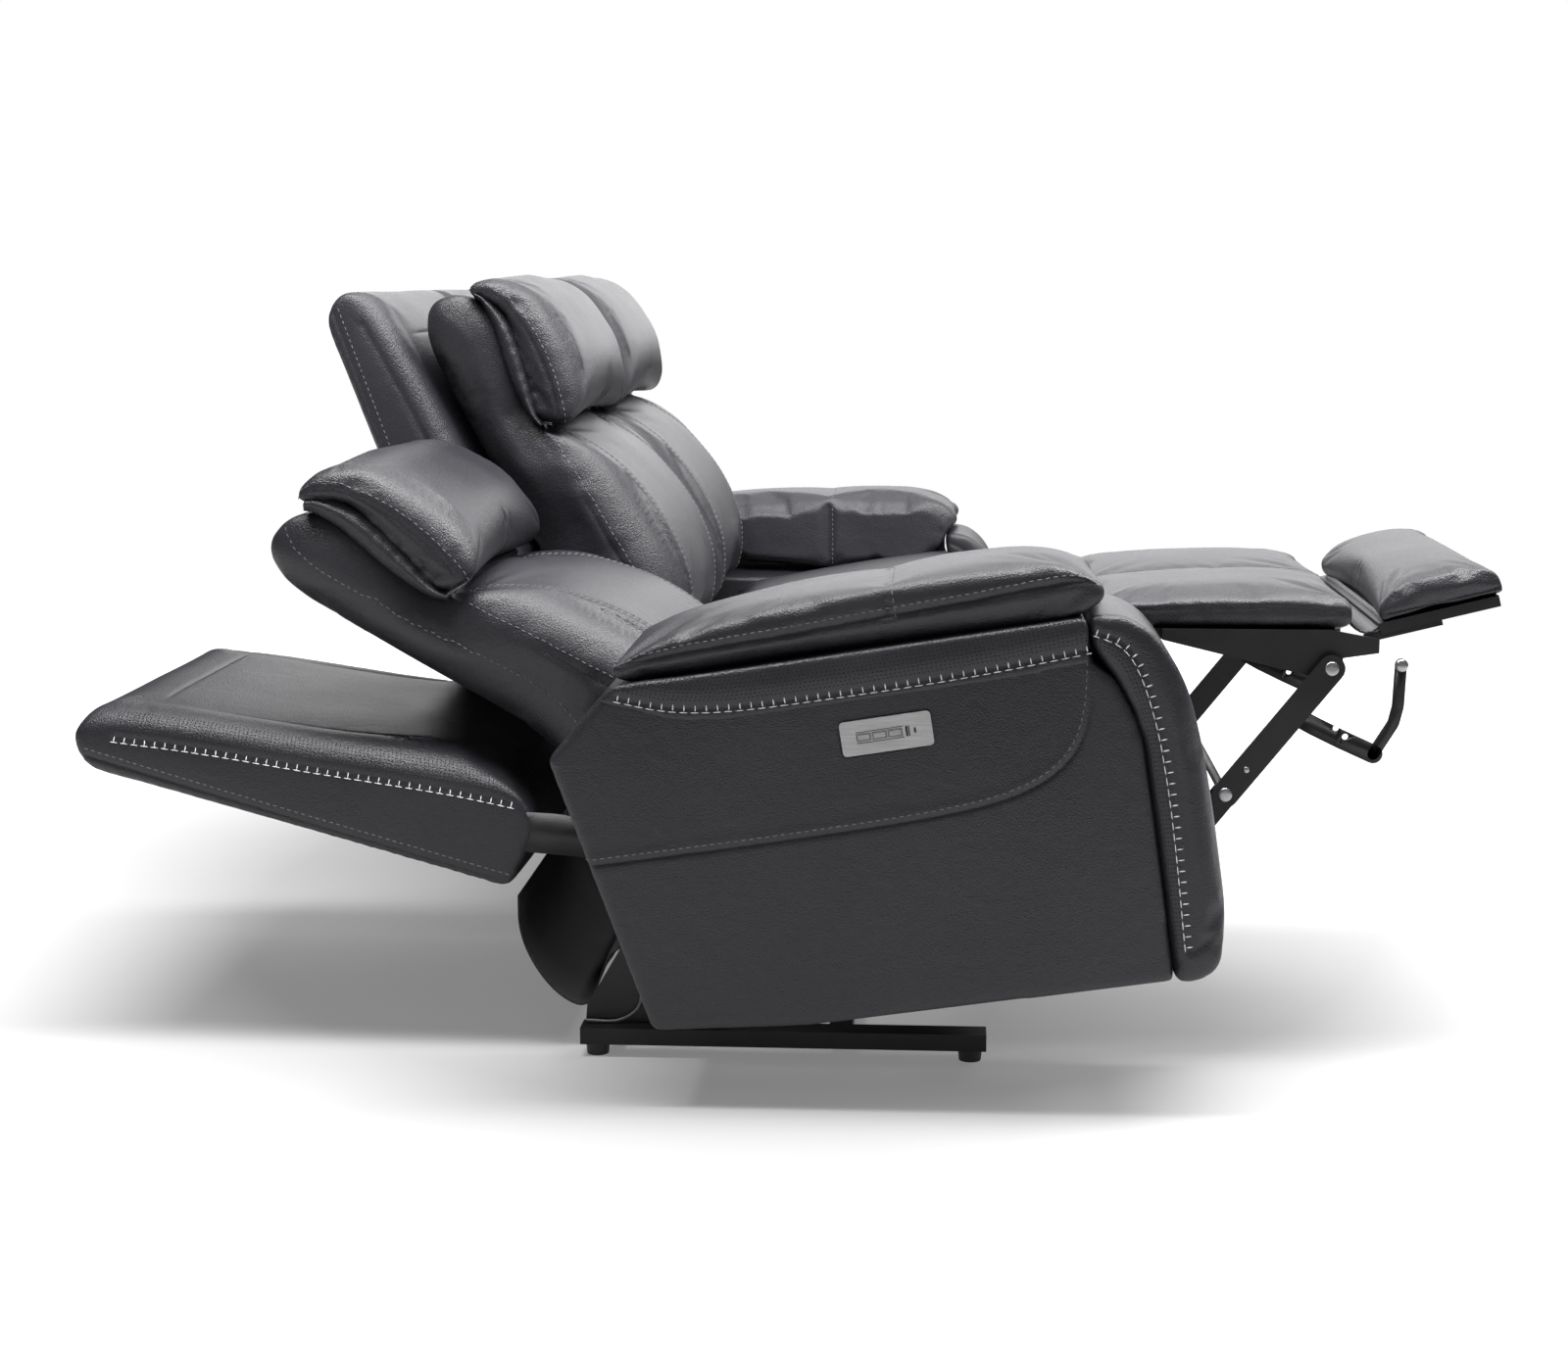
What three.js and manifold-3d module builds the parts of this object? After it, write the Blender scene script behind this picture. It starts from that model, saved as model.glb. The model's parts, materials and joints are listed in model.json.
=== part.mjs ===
// Three-seat power recliner sofa. Millimetres, +Z up, +X the way a sitter faces, +Y the sitter's left.
// Each seat is drawn closed, side-on, as outlines in X and Z. A recliner seat is a tree of hinges, and the
// seat at the right-hand end (-Y) is turned to its reclined pose when it is built.
import * as THREE from 'three';
import { mergeVertices } from 'three/addons/utils/BufferGeometryUtils.js';
import Module from 'manifold-3d';

const wasm = await Module();
wasm.setup();

// Driving dimensions.
export const SEAT_PITCH = 580;      // one seat, side to side
export const ARM_WIDTH = 216;
export const SIDE_GAP = 3;          // between neighbouring soft parts
export const PAD_HEIGHT = 600;      // crown of the arm pad above the floor
export const BAND_HEIGHT = 62;      // perforated band under the arm pad
export const SHELL_TOP = 990;       // top of the upright back shell
export const CUSHION_TOP = 1002;    // top of the upright back cushion
export const SEAT_TOP = 484;        // front of the seat cushion
export const DECK = 338;            // underside of the seat cushion
export const CHAISE_LENGTH = 345;   // footrest pad, from its nose to its far end
export const FLIP_LENGTH = 165;     // folding end pad of the footrest
export const FLIP_THICKNESS = 70;
export const BASE_LENGTH = 530;     // floor rails, front to back
export const RAIL = 22;             // height of a floor rail
export const FOOT_HEIGHT = 16;
export const FOOT_RADIUS = 16;
export const TUBE_RADIUS = 10;      // cross tubes
export const PLATE = 4;             // steel plate and links
export const LINK_WIDTH = 34;
export const LOWER_LINK = 235;
export const UPPER_LINK = 209;
export const BUTTON = 17;
export const BUTTON_HEIGHT = 9;
export const BUTTON_TRAVEL = 1.5;
export const GAP = 0.4;             // between pieces that touch
const BUTTON_PITCH = 19;
const SWITCH_LENGTH = 110;
const SWITCH_HEIGHT = 42;
const SWITCH_PROUD = 2.5;
const SWITCH_DEPTH = 8;

// Hinges of a closed recliner seat, as [x, z], and how far each turns to open. Positive lifts the front.
export const HINGES = {
  glide: { at: [-334, 1608], open: 9 },
  recline: { at: [-348, 254], open: 44.8 },
  tilt: { at: [-582, 367], open: -22 },
  headrest: { at: [-345, 790], open: -25 },
  footrest: { at: [201, 422], open: 81 },
  lower: { at: [186, 70], open: -71.6 },
  upper: { at: [88.5, 283.8], open: 172.1 },
  flip: { at: [230.7, 56.9], open: 175 },
};
const UPPER_LINK_CLOSED = -57.8;    // which way the closed upper link points, in degrees
export const RIGHT_HEADREST = -3;

// Side planes across a recliner seat, measured in from its outer face.
const MODULE = ARM_WIDTH + SIDE_GAP + SEAT_PITCH;
const HALF_WIDTH = MODULE + SEAT_PITCH / 2 + SIDE_GAP / 2;
const SEAT_FROM = ARM_WIDTH + SIDE_GAP + SIDE_GAP;
const SEAT_TO = MODULE - SIDE_GAP;
const PLANE = PLATE + 2;
const planeAt = (n) => ARM_WIDTH + SIDE_GAP + 1 + n * PLANE;
const mirrored = (v) => ARM_WIDTH + SIDE_GAP + MODULE - v - PLATE;
const CHAISE_FROM = planeAt(3);
const CHAISE_TO = mirrored(planeAt(3)) + PLATE;
const FLIP_FROM = planeAt(4) + 2;
const FLIP_TO = mirrored(planeAt(4)) + PLATE - 2;

const LEATHER = { color: 0x3b3a40, roughness: 0.5, metalness: 0 };
const STEEL = { color: 0x17171a, roughness: 0.45, metalness: 0.6 };
const PLASTIC = { color: 0x0c0c0d, roughness: 0.5, metalness: 0 };
const SILVER = { color: 0x9a9a9c, roughness: 0.35, metalness: 0.8 };
const CLOTH = { color: 0x121214, roughness: 0.95, metalness: 0 };

// Outline helpers. A corner with a third value is rounded to that radius.
function outline(points) {
  const shape = new THREE.Shape();
  const count = points.length;
  const corners = points.map(([x, z, r = 0], i) => {
    const here = new THREE.Vector2(x, z);
    const before = new THREE.Vector2(...points[(i + count - 1) % count].slice(0, 2));
    const after = new THREE.Vector2(...points[(i + 1) % count].slice(0, 2));
    const limit = 0.48 * Math.min(here.distanceTo(before), here.distanceTo(after));
    const back = Math.min(r, limit);
    const start = here.clone().add(before.sub(here).setLength(back));
    const end = here.clone().add(after.sub(here).setLength(back));
    return { here, start, end, round: back > 0 };
  });
  shape.moveTo(corners[0].end.x, corners[0].end.y);
  for (const corner of [...corners.slice(1), corners[0]]) {
    shape.lineTo(corner.start.x, corner.start.y);
    if (corner.round) shape.quadraticCurveTo(corner.here.x, corner.here.y, corner.end.x, corner.end.y);
  }
  return shape;
}

// An extrusion of a side outline between two distances in from the outer face.
function slab(shape, from, to, bevel = 0, segments = 4) {
  const options = { depth: to - from - 2 * bevel, steps: 1, curveSegments: segments };
  options.bevelEnabled = bevel > 0;
  options.bevelThickness = bevel;
  options.bevelSize = bevel;
  options.bevelOffset = -bevel;
  options.bevelSegments = 1;
  const geometry = new THREE.ExtrudeGeometry(shape, options);
  geometry.rotateX(Math.PI / 2);
  geometry.translate(0, to - bevel, 0);
  return geometry;
}

const block = (x0, x1, v0, v1, z0, z1) =>
  slab(outline([[x0, z0], [x1, z0], [x1, z1], [x0, z1]]), v0, v1);

// A round tube across the seat at (x, z).
function tubeAcross(x, z, radius, v0, v1) {
  const geometry = new THREE.CylinderGeometry(radius, radius, v1 - v0, 16);
  geometry.translate(x, (v0 + v1) / 2, z);
  return geometry;
}

function tubeAlong(x0, x1, v, z, radius) {
  const geometry = new THREE.CylinderGeometry(radius, radius, x1 - x0, 14);
  geometry.rotateZ(Math.PI / 2);
  geometry.translate((x0 + x1) / 2, v, z);
  return geometry;
}

// A flat bar with round ends between two points, in the plane that starts at v.
function bar(from, to, v, width = LINK_WIDTH) {
  const length = Math.hypot(to[0] - from[0], to[1] - from[1]);
  const shape = new THREE.Shape();
  shape.absarc(0, 0, width / 2, Math.PI / 2, 1.5 * Math.PI, false);
  shape.absarc(length, 0, width / 2, 1.5 * Math.PI, 2.5 * Math.PI, false);
  const geometry = slab(shape, 0, PLATE, 0, 6);
  geometry.rotateY(-Math.atan2(to[1] - from[1], to[0] - from[0]));
  geometry.translate(from[0], v, from[1]);
  return geometry;
}

// Booleans.
function solid(geometry) {
  const plain = geometry.clone();
  plain.deleteAttribute('normal');
  plain.deleteAttribute('uv');
  const merged = mergeVertices(plain, 1e-4);
  const vertProperties = new Float32Array(merged.attributes.position.array);
  const triVerts = new Uint32Array(merged.index.array);
  return new wasm.Manifold(new wasm.Mesh({ numProp: 3, vertProperties, triVerts }));
}

function geometryOf(body) {
  const { vertProperties, triVerts } = body.getMesh();
  const geometry = new THREE.BufferGeometry();
  geometry.setAttribute('position', new THREE.BufferAttribute(new Float32Array(vertProperties), 3));
  geometry.setIndex(new THREE.BufferAttribute(new Uint32Array(triVerts), 1));
  return geometry;
}

const joined = (...parts) => geometryOf(parts.map(solid).reduce((whole, part) => whole.add(part)));

function cut(geometry, ...tools) {
  return geometryOf(tools.map(solid).reduce((left, tool) => left.subtract(tool), solid(geometry)));
}

// The sub-parts of a closed recliner seat.
const railX = BASE_LENGTH / 2;
const railTop = FOOT_HEIGHT + GAP + RAIL;
const railBottom = FOOT_HEIGHT + GAP;
const RAILS = [{ v: 203, width: 40 }, { v: MODULE - 23, width: 20 }];
const REAR_BRACKET_TOP = 158;

function baseFrame() {
  const rails = RAILS.map(({ v, width }) => block(-railX, railX, v, v + width, railBottom, railTop));
  const crosses = [-railX + 30, 60].map((x) =>
    block(x, x + 30, RAILS[0].v + 1, RAILS[1].v + 1, railBottom, railTop));
  const brackets = [planeAt(2), mirrored(planeAt(2))].flatMap((v) => [
    slab(outline([[-railX + 2, railBottom], [-railX + 110, railBottom], [-railX + 96, REAR_BRACKET_TOP],
      [-railX + 62, REAR_BRACKET_TOP], [-railX + 6, 62]]), v, v + PLATE),
  ]);
  return joined(...rails, ...crosses, ...brackets);
}

function foot(end, rail) {
  const geometry = new THREE.CylinderGeometry(FOOT_RADIUS, FOOT_RADIUS * 0.9, FOOT_HEIGHT, 20);
  geometry.rotateX(Math.PI / 2);
  geometry.translate(end * (railX - 21), RAILS[rail].v + RAILS[rail].width / 2, FOOT_HEIGHT / 2);
  return geometry;
}

const MOTOR_Z = 222;
function seatFrame() {
  const [foot_x, foot_z] = HINGES.lower.at;
  const shape = outline([[-372, 236], [-300, 178], [40, 178], [120, 120], [foot_x - 20, foot_z - 14],
    [foot_x + 18, foot_z - 14], [foot_x + 18, foot_z + 40], [196, DECK - 4], [-300, DECK - 4], [-372, 284]]);
  const plates = [planeAt(0), mirrored(planeAt(0))].map((v) => slab(shape, v, v + PLATE));
  const tubes = [[-300, MOTOR_Z], [10, MOTOR_Z]].map(([x, z]) =>
    tubeAcross(x, z, TUBE_RADIUS, planeAt(0) + 1, mirrored(planeAt(0)) + PLATE - 1));
  return joined(...plates, ...tubes);
}

function motor() {
  const middle = (planeAt(0) + mirrored(planeAt(0)) + PLATE) / 2;
  const front = 10 - TUBE_RADIUS - 4;
  const housing = block(-270, -180, middle - 34, middle + 34, MOTOR_Z - 38, MOTOR_Z + 52);
  return joined(housing, tubeAlong(-185, front, middle, MOTOR_Z, 16));
}

function seatCushion() {
  const [x, z] = HINGES.footrest.at;
  const nose = SEAT_TOP - z;
  const shape = new THREE.Shape();
  shape.moveTo(x, SEAT_TOP);
  shape.absarc(x, z, nose, Math.PI / 2, -Math.PI / 3, true);
  shape.lineTo(x + 10, DECK);
  shape.lineTo(-205, DECK);
  shape.lineTo(-212, SEAT_TOP - 92);
  shape.quadraticCurveTo(-208, SEAT_TOP - 66, -170, SEAT_TOP - 62);
  shape.quadraticCurveTo(40, SEAT_TOP - 30, x, SEAT_TOP);
  return slab(shape, SEAT_FROM, SEAT_TO, 12, 8);
}

// The arm, from its rear edge to the front roll. Heights hang from the pad.
const padUnder = PAD_HEIGHT - 84;
const bandUnder = padUnder - BAND_HEIGHT;
const BAND_DEPTH = 14;
const armBottom = 60;
const rollLine = [[209, padUnder - GAP - 34], [232, bandUnder - 18], [255, bandUnder - 80, 30],
  [255, 240], [252, armBottom]];

function armPanel() {
  const front = rollLine.map(([x, z, r]) => [x - 1, z, r]);
  const lower = outline([...[...front.slice(1)].reverse(), [206, bandUnder], [-300, bandUnder],
    [-390, bandUnder + 30], [-457, bandUnder - 17], [-385, 86], [-196, armBottom + 6]]);
  const upper = outline([[200, bandUnder - 30], [206, padUnder - GAP], [-366, padUnder - GAP],
    [-452, bandUnder - 10], [-420, bandUnder - 60]]);
  const body = joined(slab(lower, 0, ARM_WIDTH), slab(upper, BAND_DEPTH + GAP, ARM_WIDTH));
  const [x, z] = SWITCH_AT;
  const pocket = block(x - SWITCH_LENGTH / 2 + 3.5, x + SWITCH_LENGTH / 2 - 3.5, -5, SWITCH_DEPTH + GAP,
    z - SWITCH_HEIGHT / 2 + 3.5, z + SWITCH_HEIGHT / 2 - 3.5);
  return cut(body, pocket);
}

function armBand() {
  const shape = outline([[206 - 1, bandUnder + 8], [206, padUnder - GAP], [-366, padUnder - GAP],
    [-386, bandUnder + 40], [-318, bandUnder + 14, 20], [-250, bandUnder + GAP, 40], [60, bandUnder + GAP]]);
  return slab(shape, 1, BAND_DEPTH);
}

function armPad() {
  const top = PAD_HEIGHT;
  const shape = outline([[-366, padUnder], [204, padUnder], [238, padUnder + 12, 24], [242, top - 46, 30],
    [196, top - 8, 60], [40, top, 200], [-150, top - 8, 200], [-300, top - 24, 80], [-372, top - 48, 30]]);
  return slab(shape, 0, ARM_WIDTH, 10, 5);
}

function armRoll() {
  const rear = rollLine.map(([x, z, r]) => [x + GAP, z, r]);
  const shape = outline([...rear.reverse(), [210, padUnder - GAP], [252, padUnder - 4, 20],
    [290, padUnder - 32, 30], [318, bandUnder - 30, 60], [327, 290, 80], [325, 130, 40],
    [312, 60, 30], [266, 50, 16]]);
  return slab(shape, 0, ARM_WIDTH, 10, 5);
}

// The control plate stands on the arm's outer face, its box let into the panel, with three pockets.
const SWITCH_AT = [-46, PAD_HEIGHT - 189];
const BUTTON_FLOOR = -SWITCH_PROUD + 5;

function switchPlate() {
  const [x, z] = SWITCH_AT;
  const half = SWITCH_LENGTH / 2;
  const tall = SWITCH_HEIGHT / 2;
  const corner = 6;
  const face = slab(outline([[x - half, z - tall, corner], [x + half, z - tall, corner],
    [x + half, z + tall, corner], [x - half, z + tall, corner]]), -SWITCH_PROUD, -GAP);
  const box = block(x - half + 4, x + half - 4, -1, SWITCH_DEPTH, z - tall + 4, z + tall - 4);
  const pockets = [0, 1, 2].map((i) => buttonBlock(i, GAP, -10, BUTTON_FLOOR));
  return cut(joined(face, box), ...pockets);
}

function buttonBlock(index, grow, from, to) {
  const x = SWITCH_AT[0] - 27.5 + index * BUTTON_PITCH;
  const long = BUTTON / 2 + grow;
  const high = BUTTON_HEIGHT / 2 + grow;
  return block(x - long, x + long, from, to, SWITCH_AT[1] - high, SWITCH_AT[1] + high);
}

const pushButton = (index) =>
  buttonBlock(index, 0, -SWITCH_PROUD - 0.9, BUTTON_FLOOR - BUTTON_TRAVEL - GAP);

// The back, upright.
function shellBody() {
  const top = SHELL_TOP;
  const shape = outline([[-728, top - 40, 26], [-704, top, 26], [-639, top - 2, 26], [-590, top - 90],
    [-480, top - 300, 60], [-418, 592, 30], [-404, 470, 26], [-425, 420, 26], [-522, 400, 26]]);
  return slab(shape, SEAT_FROM, SEAT_TO, 8, 4);
}

function backShell() {
  const arm = outline([[-440, 470], [-470, 420], [-362, 246], [-338, 240], [-330, 262], [-400, 410]]);
  const planes = [planeAt(1), mirrored(planeAt(1))];
  return joined(shellBody(), ...planes.map((v) => slab(arm, v, v + PLATE)));
}

function backCushion() {
  const top = CUSHION_TOP;
  const shape = outline([[-584, top - 78, 20], [-580, top - 20, 30], [-518, top, 30], [-462, top - 48, 30],
    [-425, 812], [-400, 779, 10], [-371, 777, 20], [-292, 736, 60], [-213, 642, 60], [-172, 540, 60],
    [-186, 438, 24], [-390, 444, 20], [-400, 590, 40], [-492, 752, 60]]);
  return slab(shape, SEAT_FROM, SEAT_TO, 9, 5);
}

function headrestPillow() {
  const top = CUSHION_TOP;
  const shape = outline([[-510, top + 3, 20], [-470, top + 20, 30], [-400, top - 16, 50],
    [-340, 900, 60], [-334, 815, 30], [-356, 786, 20], [-398, 788, 20], [-421, 812, 20],
    [-455, top - 45, 20]]);
  return slab(shape, SEAT_FROM + 4, SEAT_TO - 4, 6, 5);
}

// The footrest. Its pads are drawn folded down in front of the seat.
const NOSE = SEAT_TOP - HINGES.footrest.at[1] + 4;
const chaiseFront = 288;
const chaiseBottom = HINGES.footrest.at[1] - CHAISE_LENGTH;
const chaiseBack = 248;
const BOARD = 14;

function chaisePad(from = CHAISE_FROM, to = CHAISE_TO) {
  const [x, z] = HINGES.footrest.at;
  const shape = new THREE.Shape();
  const start = -0.14;
  const end = -Math.acos((chaiseBack - x) / NOSE);
  shape.moveTo(x + NOSE * Math.cos(start), z + NOSE * Math.sin(start));
  shape.absarc(x, z, NOSE, start, end, true);
  shape.lineTo(chaiseBack, chaiseBottom + 6);
  shape.quadraticCurveTo(chaiseBack + 4, chaiseBottom, chaiseBack + 14, chaiseBottom);
  shape.quadraticCurveTo(chaiseFront + 6, chaiseBottom + 4, chaiseFront + 8, chaiseBottom + 60);
  shape.quadraticCurveTo(chaiseFront + 4, 300, chaiseFront - 8, z - 12);
  shape.quadraticCurveTo(x + NOSE + 8, z + 2, x + NOSE * Math.cos(start), z + NOSE * Math.sin(start));
  return slab(shape, from, to, 0, 6);
}

function ottomanFrame() {
  const back = chaiseBack - GAP;
  const board = block(back - BOARD, back, FLIP_FROM, FLIP_TO, chaiseBottom + 24, 330);
  const [gx, gz] = HINGES.flip.at;
  const shape = outline([[back, 320], [back - 14, 320], [188, 130], [188, 92], [212, 92], [gx - 12, gz - 10],
    [gx + 6, gz - 10], [back, chaiseBottom + 30]]);
  const planes = [planeAt(3), mirrored(planeAt(3))];
  const ties = [[planeAt(3), FLIP_FROM + 6], [FLIP_TO - 6, mirrored(planeAt(3)) + PLATE]].map(([a, b]) =>
    block(back - BOARD + 2, back - 2, a + 1, b - 1, 200, 320));
  return joined(board, ...ties, ...planes.map((v) => slab(shape, v, v + PLATE)));
}

// The flip pad is drawn open, in line with the open footrest, then folded back by its hinge.
const FLIP_NEAR = 16;
function flipFrame() {
  const [x, z] = HINGES.flip.at;
  const near = x + FLIP_NEAR;
  return joined(
    block(near, near + FLIP_LENGTH - 12, FLIP_FROM + 6, FLIP_TO - 6, z + 7, z + 7 + BOARD),
    ...[FLIP_FROM + 20, FLIP_TO - 20 - PLATE].map((v) => block(x - 4, near + 80, v, v + PLATE, z - 2, z + 9)));
}

function flipPad() {
  const [x, z] = HINGES.flip.at;
  const near = x + FLIP_NEAR;
  const far = near + FLIP_LENGTH;
  const low = z + 7 + BOARD + GAP;
  const shape = outline([[near, low, 10], [near - 2, z + FLIP_THICKNESS * 0.7, 20],
    [near + 40, z + FLIP_THICKNESS, 40], [far - 50, z + FLIP_THICKNESS, 40], [far, z + FLIP_THICKNESS * 0.6, 20],
    [far - 4, low, 10]]);
  return slab(shape, FLIP_FROM, FLIP_TO, 5, 4);
}

// Two links on each side. A cross rod ties the lower pair, and the elbow rod of the upper pair runs in
// holes through the lower pair.
const ELBOW_ROD = 6;
function lowerLinks() {
  const [x, z] = HINGES.lower.at;
  const elbow = HINGES.upper.at;
  const share = (LOWER_LINK - 36) / LOWER_LINK;
  const rod = [x + (elbow[0] - x) * share, z + (elbow[1] - z) * share];
  const planes = [planeAt(2), mirrored(planeAt(2))];
  const pair = joined(...planes.map((v) => bar([x, z], elbow, v)),
    tubeAcross(...rod, TUBE_RADIUS - 2, planes[0] + 1, planes[1] + PLATE - 1));
  return cut(pair, tubeAcross(...elbow, ELBOW_ROD + GAP, planes[0] - 5, planes[1] + PLATE + 5));
}

function upperLinks() {
  const from = HINGES.upper.at;
  const turn = THREE.MathUtils.degToRad(UPPER_LINK_CLOSED);
  const end = [from[0] + UPPER_LINK * Math.cos(turn), from[1] + UPPER_LINK * Math.sin(turn)];
  const planes = [planeAt(1), mirrored(planeAt(1))];
  return joined(...planes.map((v) => bar(from, end, v)),
    tubeAcross(...from, ELBOW_ROD, planes[0] + 1, planes[1] + PLATE - 1));
}

// The cloth that closes the gap between the seat carriage and the foot of the back. It hangs in a slack
// loop, which the reclined back pulls out behind the seat.
const FLAP_THICKNESS = 3;
const FLAP_CLOSED = [[-378, 232], [-388, 170], [-430, 128], [-476, 150], [-498, 215], [-506, 290], [-506, 385]];
const FLAP_OPEN = [[-378, 214], [-410, 168], [-438, 140], [-466, 129], [-483, 97], [-505, 60], [-540, 84],
  [-566, 130], [-577, 178], [-570, 224]];
function rearFlap(open) {
  const route = open ? FLAP_OPEN : FLAP_CLOSED;
  const curve = new THREE.CatmullRomCurve3(route.map(([x, z]) => new THREE.Vector3(x, z, 0)));
  const steps = 18;
  const points = curve.getPoints(steps);
  const side = (sign) => points.map((p, i) => {
    const t = curve.getTangent(i / steps);
    return new THREE.Vector2(p.x - sign * t.y * FLAP_THICKNESS / 2, p.y + sign * t.x * FLAP_THICKNESS / 2);
  });
  return slab(new THREE.Shape([...side(1), ...side(-1).reverse()]), FLIP_FROM, FLIP_TO);
}

// The lead to the motor, held along the base's rear bracket.
const LEAD_DIAMETER = 4;
const LEAD_ROUTE = [[-200, 150], [-188, 100], [-190, 62], [-216, railTop + 5], [-260, railTop + 4]];
function motorLead() {
  const v = planeAt(1);
  const curve = new THREE.CatmullRomCurve3(LEAD_ROUTE.map(([x, z]) => new THREE.Vector3(x, v, z)));
  const section = new THREE.Shape();
  section.absarc(0, 0, LEAD_DIAMETER / 2, 0, 2 * Math.PI, false);
  return new THREE.ExtrudeGeometry(section, { steps: 24, curveSegments: 4, extrudePath: curve });
}

// Assembly.
function named(name, geometry, material) {
  const mesh = new THREE.Mesh(geometry, new THREE.MeshStandardMaterial(material));
  mesh.name = name;
  return mesh;
}

// A group that turns its children about a side-on hinge.
function turned(hinge, angle, ...children) {
  const [x, z] = hinge.at;
  const group = new THREE.Group();
  group.position.set(x, 0, z);
  group.rotation.y = -THREE.MathUtils.degToRad(angle);
  const inner = new THREE.Group();
  inner.position.set(-x, 0, -z);
  inner.add(...children);
  group.add(inner);
  return group;
}

// The seat is drawn from its outer face inwards. The left seat is its mirror image, made by turning the
// winding of every mirrored triangle.
function mirror(geometry) {
  const flat = geometry.index ? geometry.toNonIndexed() : geometry.clone();
  flat.deleteAttribute('uv');
  const p = flat.attributes.position;
  for (let i = 0; i < p.count; i += 3) {
    const b = [p.getX(i + 1), p.getY(i + 1), p.getZ(i + 1)];
    p.setXYZ(i + 1, p.getX(i + 2), p.getY(i + 2), p.getZ(i + 2));
    p.setXYZ(i + 2, ...b);
  }
  for (let i = 0; i < p.count; i += 1) p.setY(i, -p.getY(i));
  return flat;
}

function reclinerSeat(side, open, headrest) {
  const shape = (geometry) => (side === 'left' ? mirror(geometry) : geometry);
  const make = (name, geometry, material) => named(`${side}_${name}`, shape(geometry), material);
  const angle = (name) => (open ? HINGES[name].open : 0);
  const corners = [['front_outer', 1, 0], ['rear_outer', -1, 0], ['front_inner', 1, 1], ['rear_inner', -1, 1]];

  const footrest = turned(HINGES.footrest, angle('footrest'),
    make('chaise_pad', chaisePad(), LEATHER),
    make('ottoman_frame', ottomanFrame(), STEEL),
    turned(HINGES.flip, angle('flip') - HINGES.flip.open + FLIP_LINE,
      make('flip_frame', flipFrame(), STEEL), make('flip_pad', flipPad(), LEATHER)));
  const links = turned(HINGES.lower, angle('lower'),
    make('lower_links', lowerLinks(), STEEL),
    turned(HINGES.upper, angle('upper'), make('upper_links', upperLinks(), STEEL)));
  const back = turned(HINGES.recline, angle('recline'),
    make('back_shell', backShell(), LEATHER),
    turned(HINGES.tilt, angle('tilt'),
      make('back_cushion', backCushion(), LEATHER),
      turned(HINGES.headrest, headrest, make('headrest_pillow', headrestPillow(), LEATHER))));
  const buttons = [1, 2, 3].map((n) => make(`button_${n}`, pushButton(n - 1), SILVER));
  const carriage = turned(HINGES.glide, angle('glide'),
    make('seat_frame', seatFrame(), STEEL),
    make('motor', motor(), PLASTIC),
    make('seat_cushion', seatCushion(), LEATHER),
    make('arm_panel', armPanel(), LEATHER),
    make('arm_band', armBand(), LEATHER),
    make('arm_pad', armPad(), LEATHER),
    make('arm_roll', armRoll(), LEATHER),
    make('switch_plate', switchPlate(), SILVER),
    make('rear_flap', rearFlap(open), CLOTH),
    ...buttons, footrest, links, back);

  const seat = new THREE.Group();
  seat.add(make('base_frame', baseFrame(), STEEL), carriage);
  for (const [name, end, rail] of corners) seat.add(make(`foot_${name}`, foot(end, rail), PLASTIC));
  if (open) seat.add(make('motor_lead', motorLead(), PLASTIC));
  seat.position.y = side === 'left' ? HALF_WIDTH : -HALF_WIDTH;
  return seat;
}
// Folded flat, the open flip pad has turned through its hinge and points along the footrest.
const FLIP_LINE = -76;

// The middle seat doesn't move: the same cushions on a fixed frame.
const MIDDLE_LEG = 24;
function middleFrame() {
  const from = SEAT_FROM;
  const to = SEAT_TO;
  const side = outline([[-400, 60], [200, 60], [200, DECK - 4], [-330, DECK - 4], [-380, 400], [-400, 400]]);
  const sides = [from + 4, to - 4 - 20].map((v) => slab(side, v, v + 20));
  const crosses = [[-395, 60, 330], [180, 60, DECK - 4]].map(([x, z0, z1]) =>
    block(x, x + 20, from + 5, to - 5, z0, z1));
  const legs = [-395, 176].flatMap((x) => [from + 4, to - 4 - MIDDLE_LEG].map((v) =>
    block(x, x + MIDDLE_LEG, v, v + MIDDLE_LEG, 0, 70)));
  return joined(...sides, ...crosses, ...legs);
}

function middleSeat() {
  const seat = new THREE.Group();
  seat.add(
    named('middle_frame', middleFrame(), STEEL),
    named('middle_seat_cushion', seatCushion(), LEATHER),
    named('middle_front_panel', chaisePad(SEAT_FROM, SEAT_TO), LEATHER),
    named('middle_back_shell', shellBody(), LEATHER),
    named('middle_back_cushion', backCushion(), LEATHER),
    named('middle_headrest_pillow', headrestPillow(), LEATHER));
  seat.position.y = -(SEAT_FROM + SEAT_TO) / 2;
  return seat;
}

const sofa = new THREE.Group();
sofa.add(reclinerSeat('right', true, RIGHT_HEADREST), middleSeat(), reclinerSeat('left', false, 0));

// The origin is on the floor, under the middle of the whole sofa's box.
sofa.updateMatrixWorld(true);
const box = new THREE.Box3().setFromObject(sofa, true);
sofa.position.set(-(box.min.x + box.max.x) / 2, -(box.min.y + box.max.y) / 2, -box.min.z);
sofa.updateMatrixWorld(true);

export default sofa;
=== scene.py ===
# %% [markdown]
# A three-seat power recliner sofa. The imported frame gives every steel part, hinge and size. This lesson
# makes its leather cushions, its stitching, its finishes, the light and the camera around that frame.

# %% Load the frame
import json
import math

import bmesh
import bpy
import numpy as np
from mathutils import Matrix, Vector
from mathutils.bvhtree import BVHTree
from mathutils.kdtree import KDTree


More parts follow.
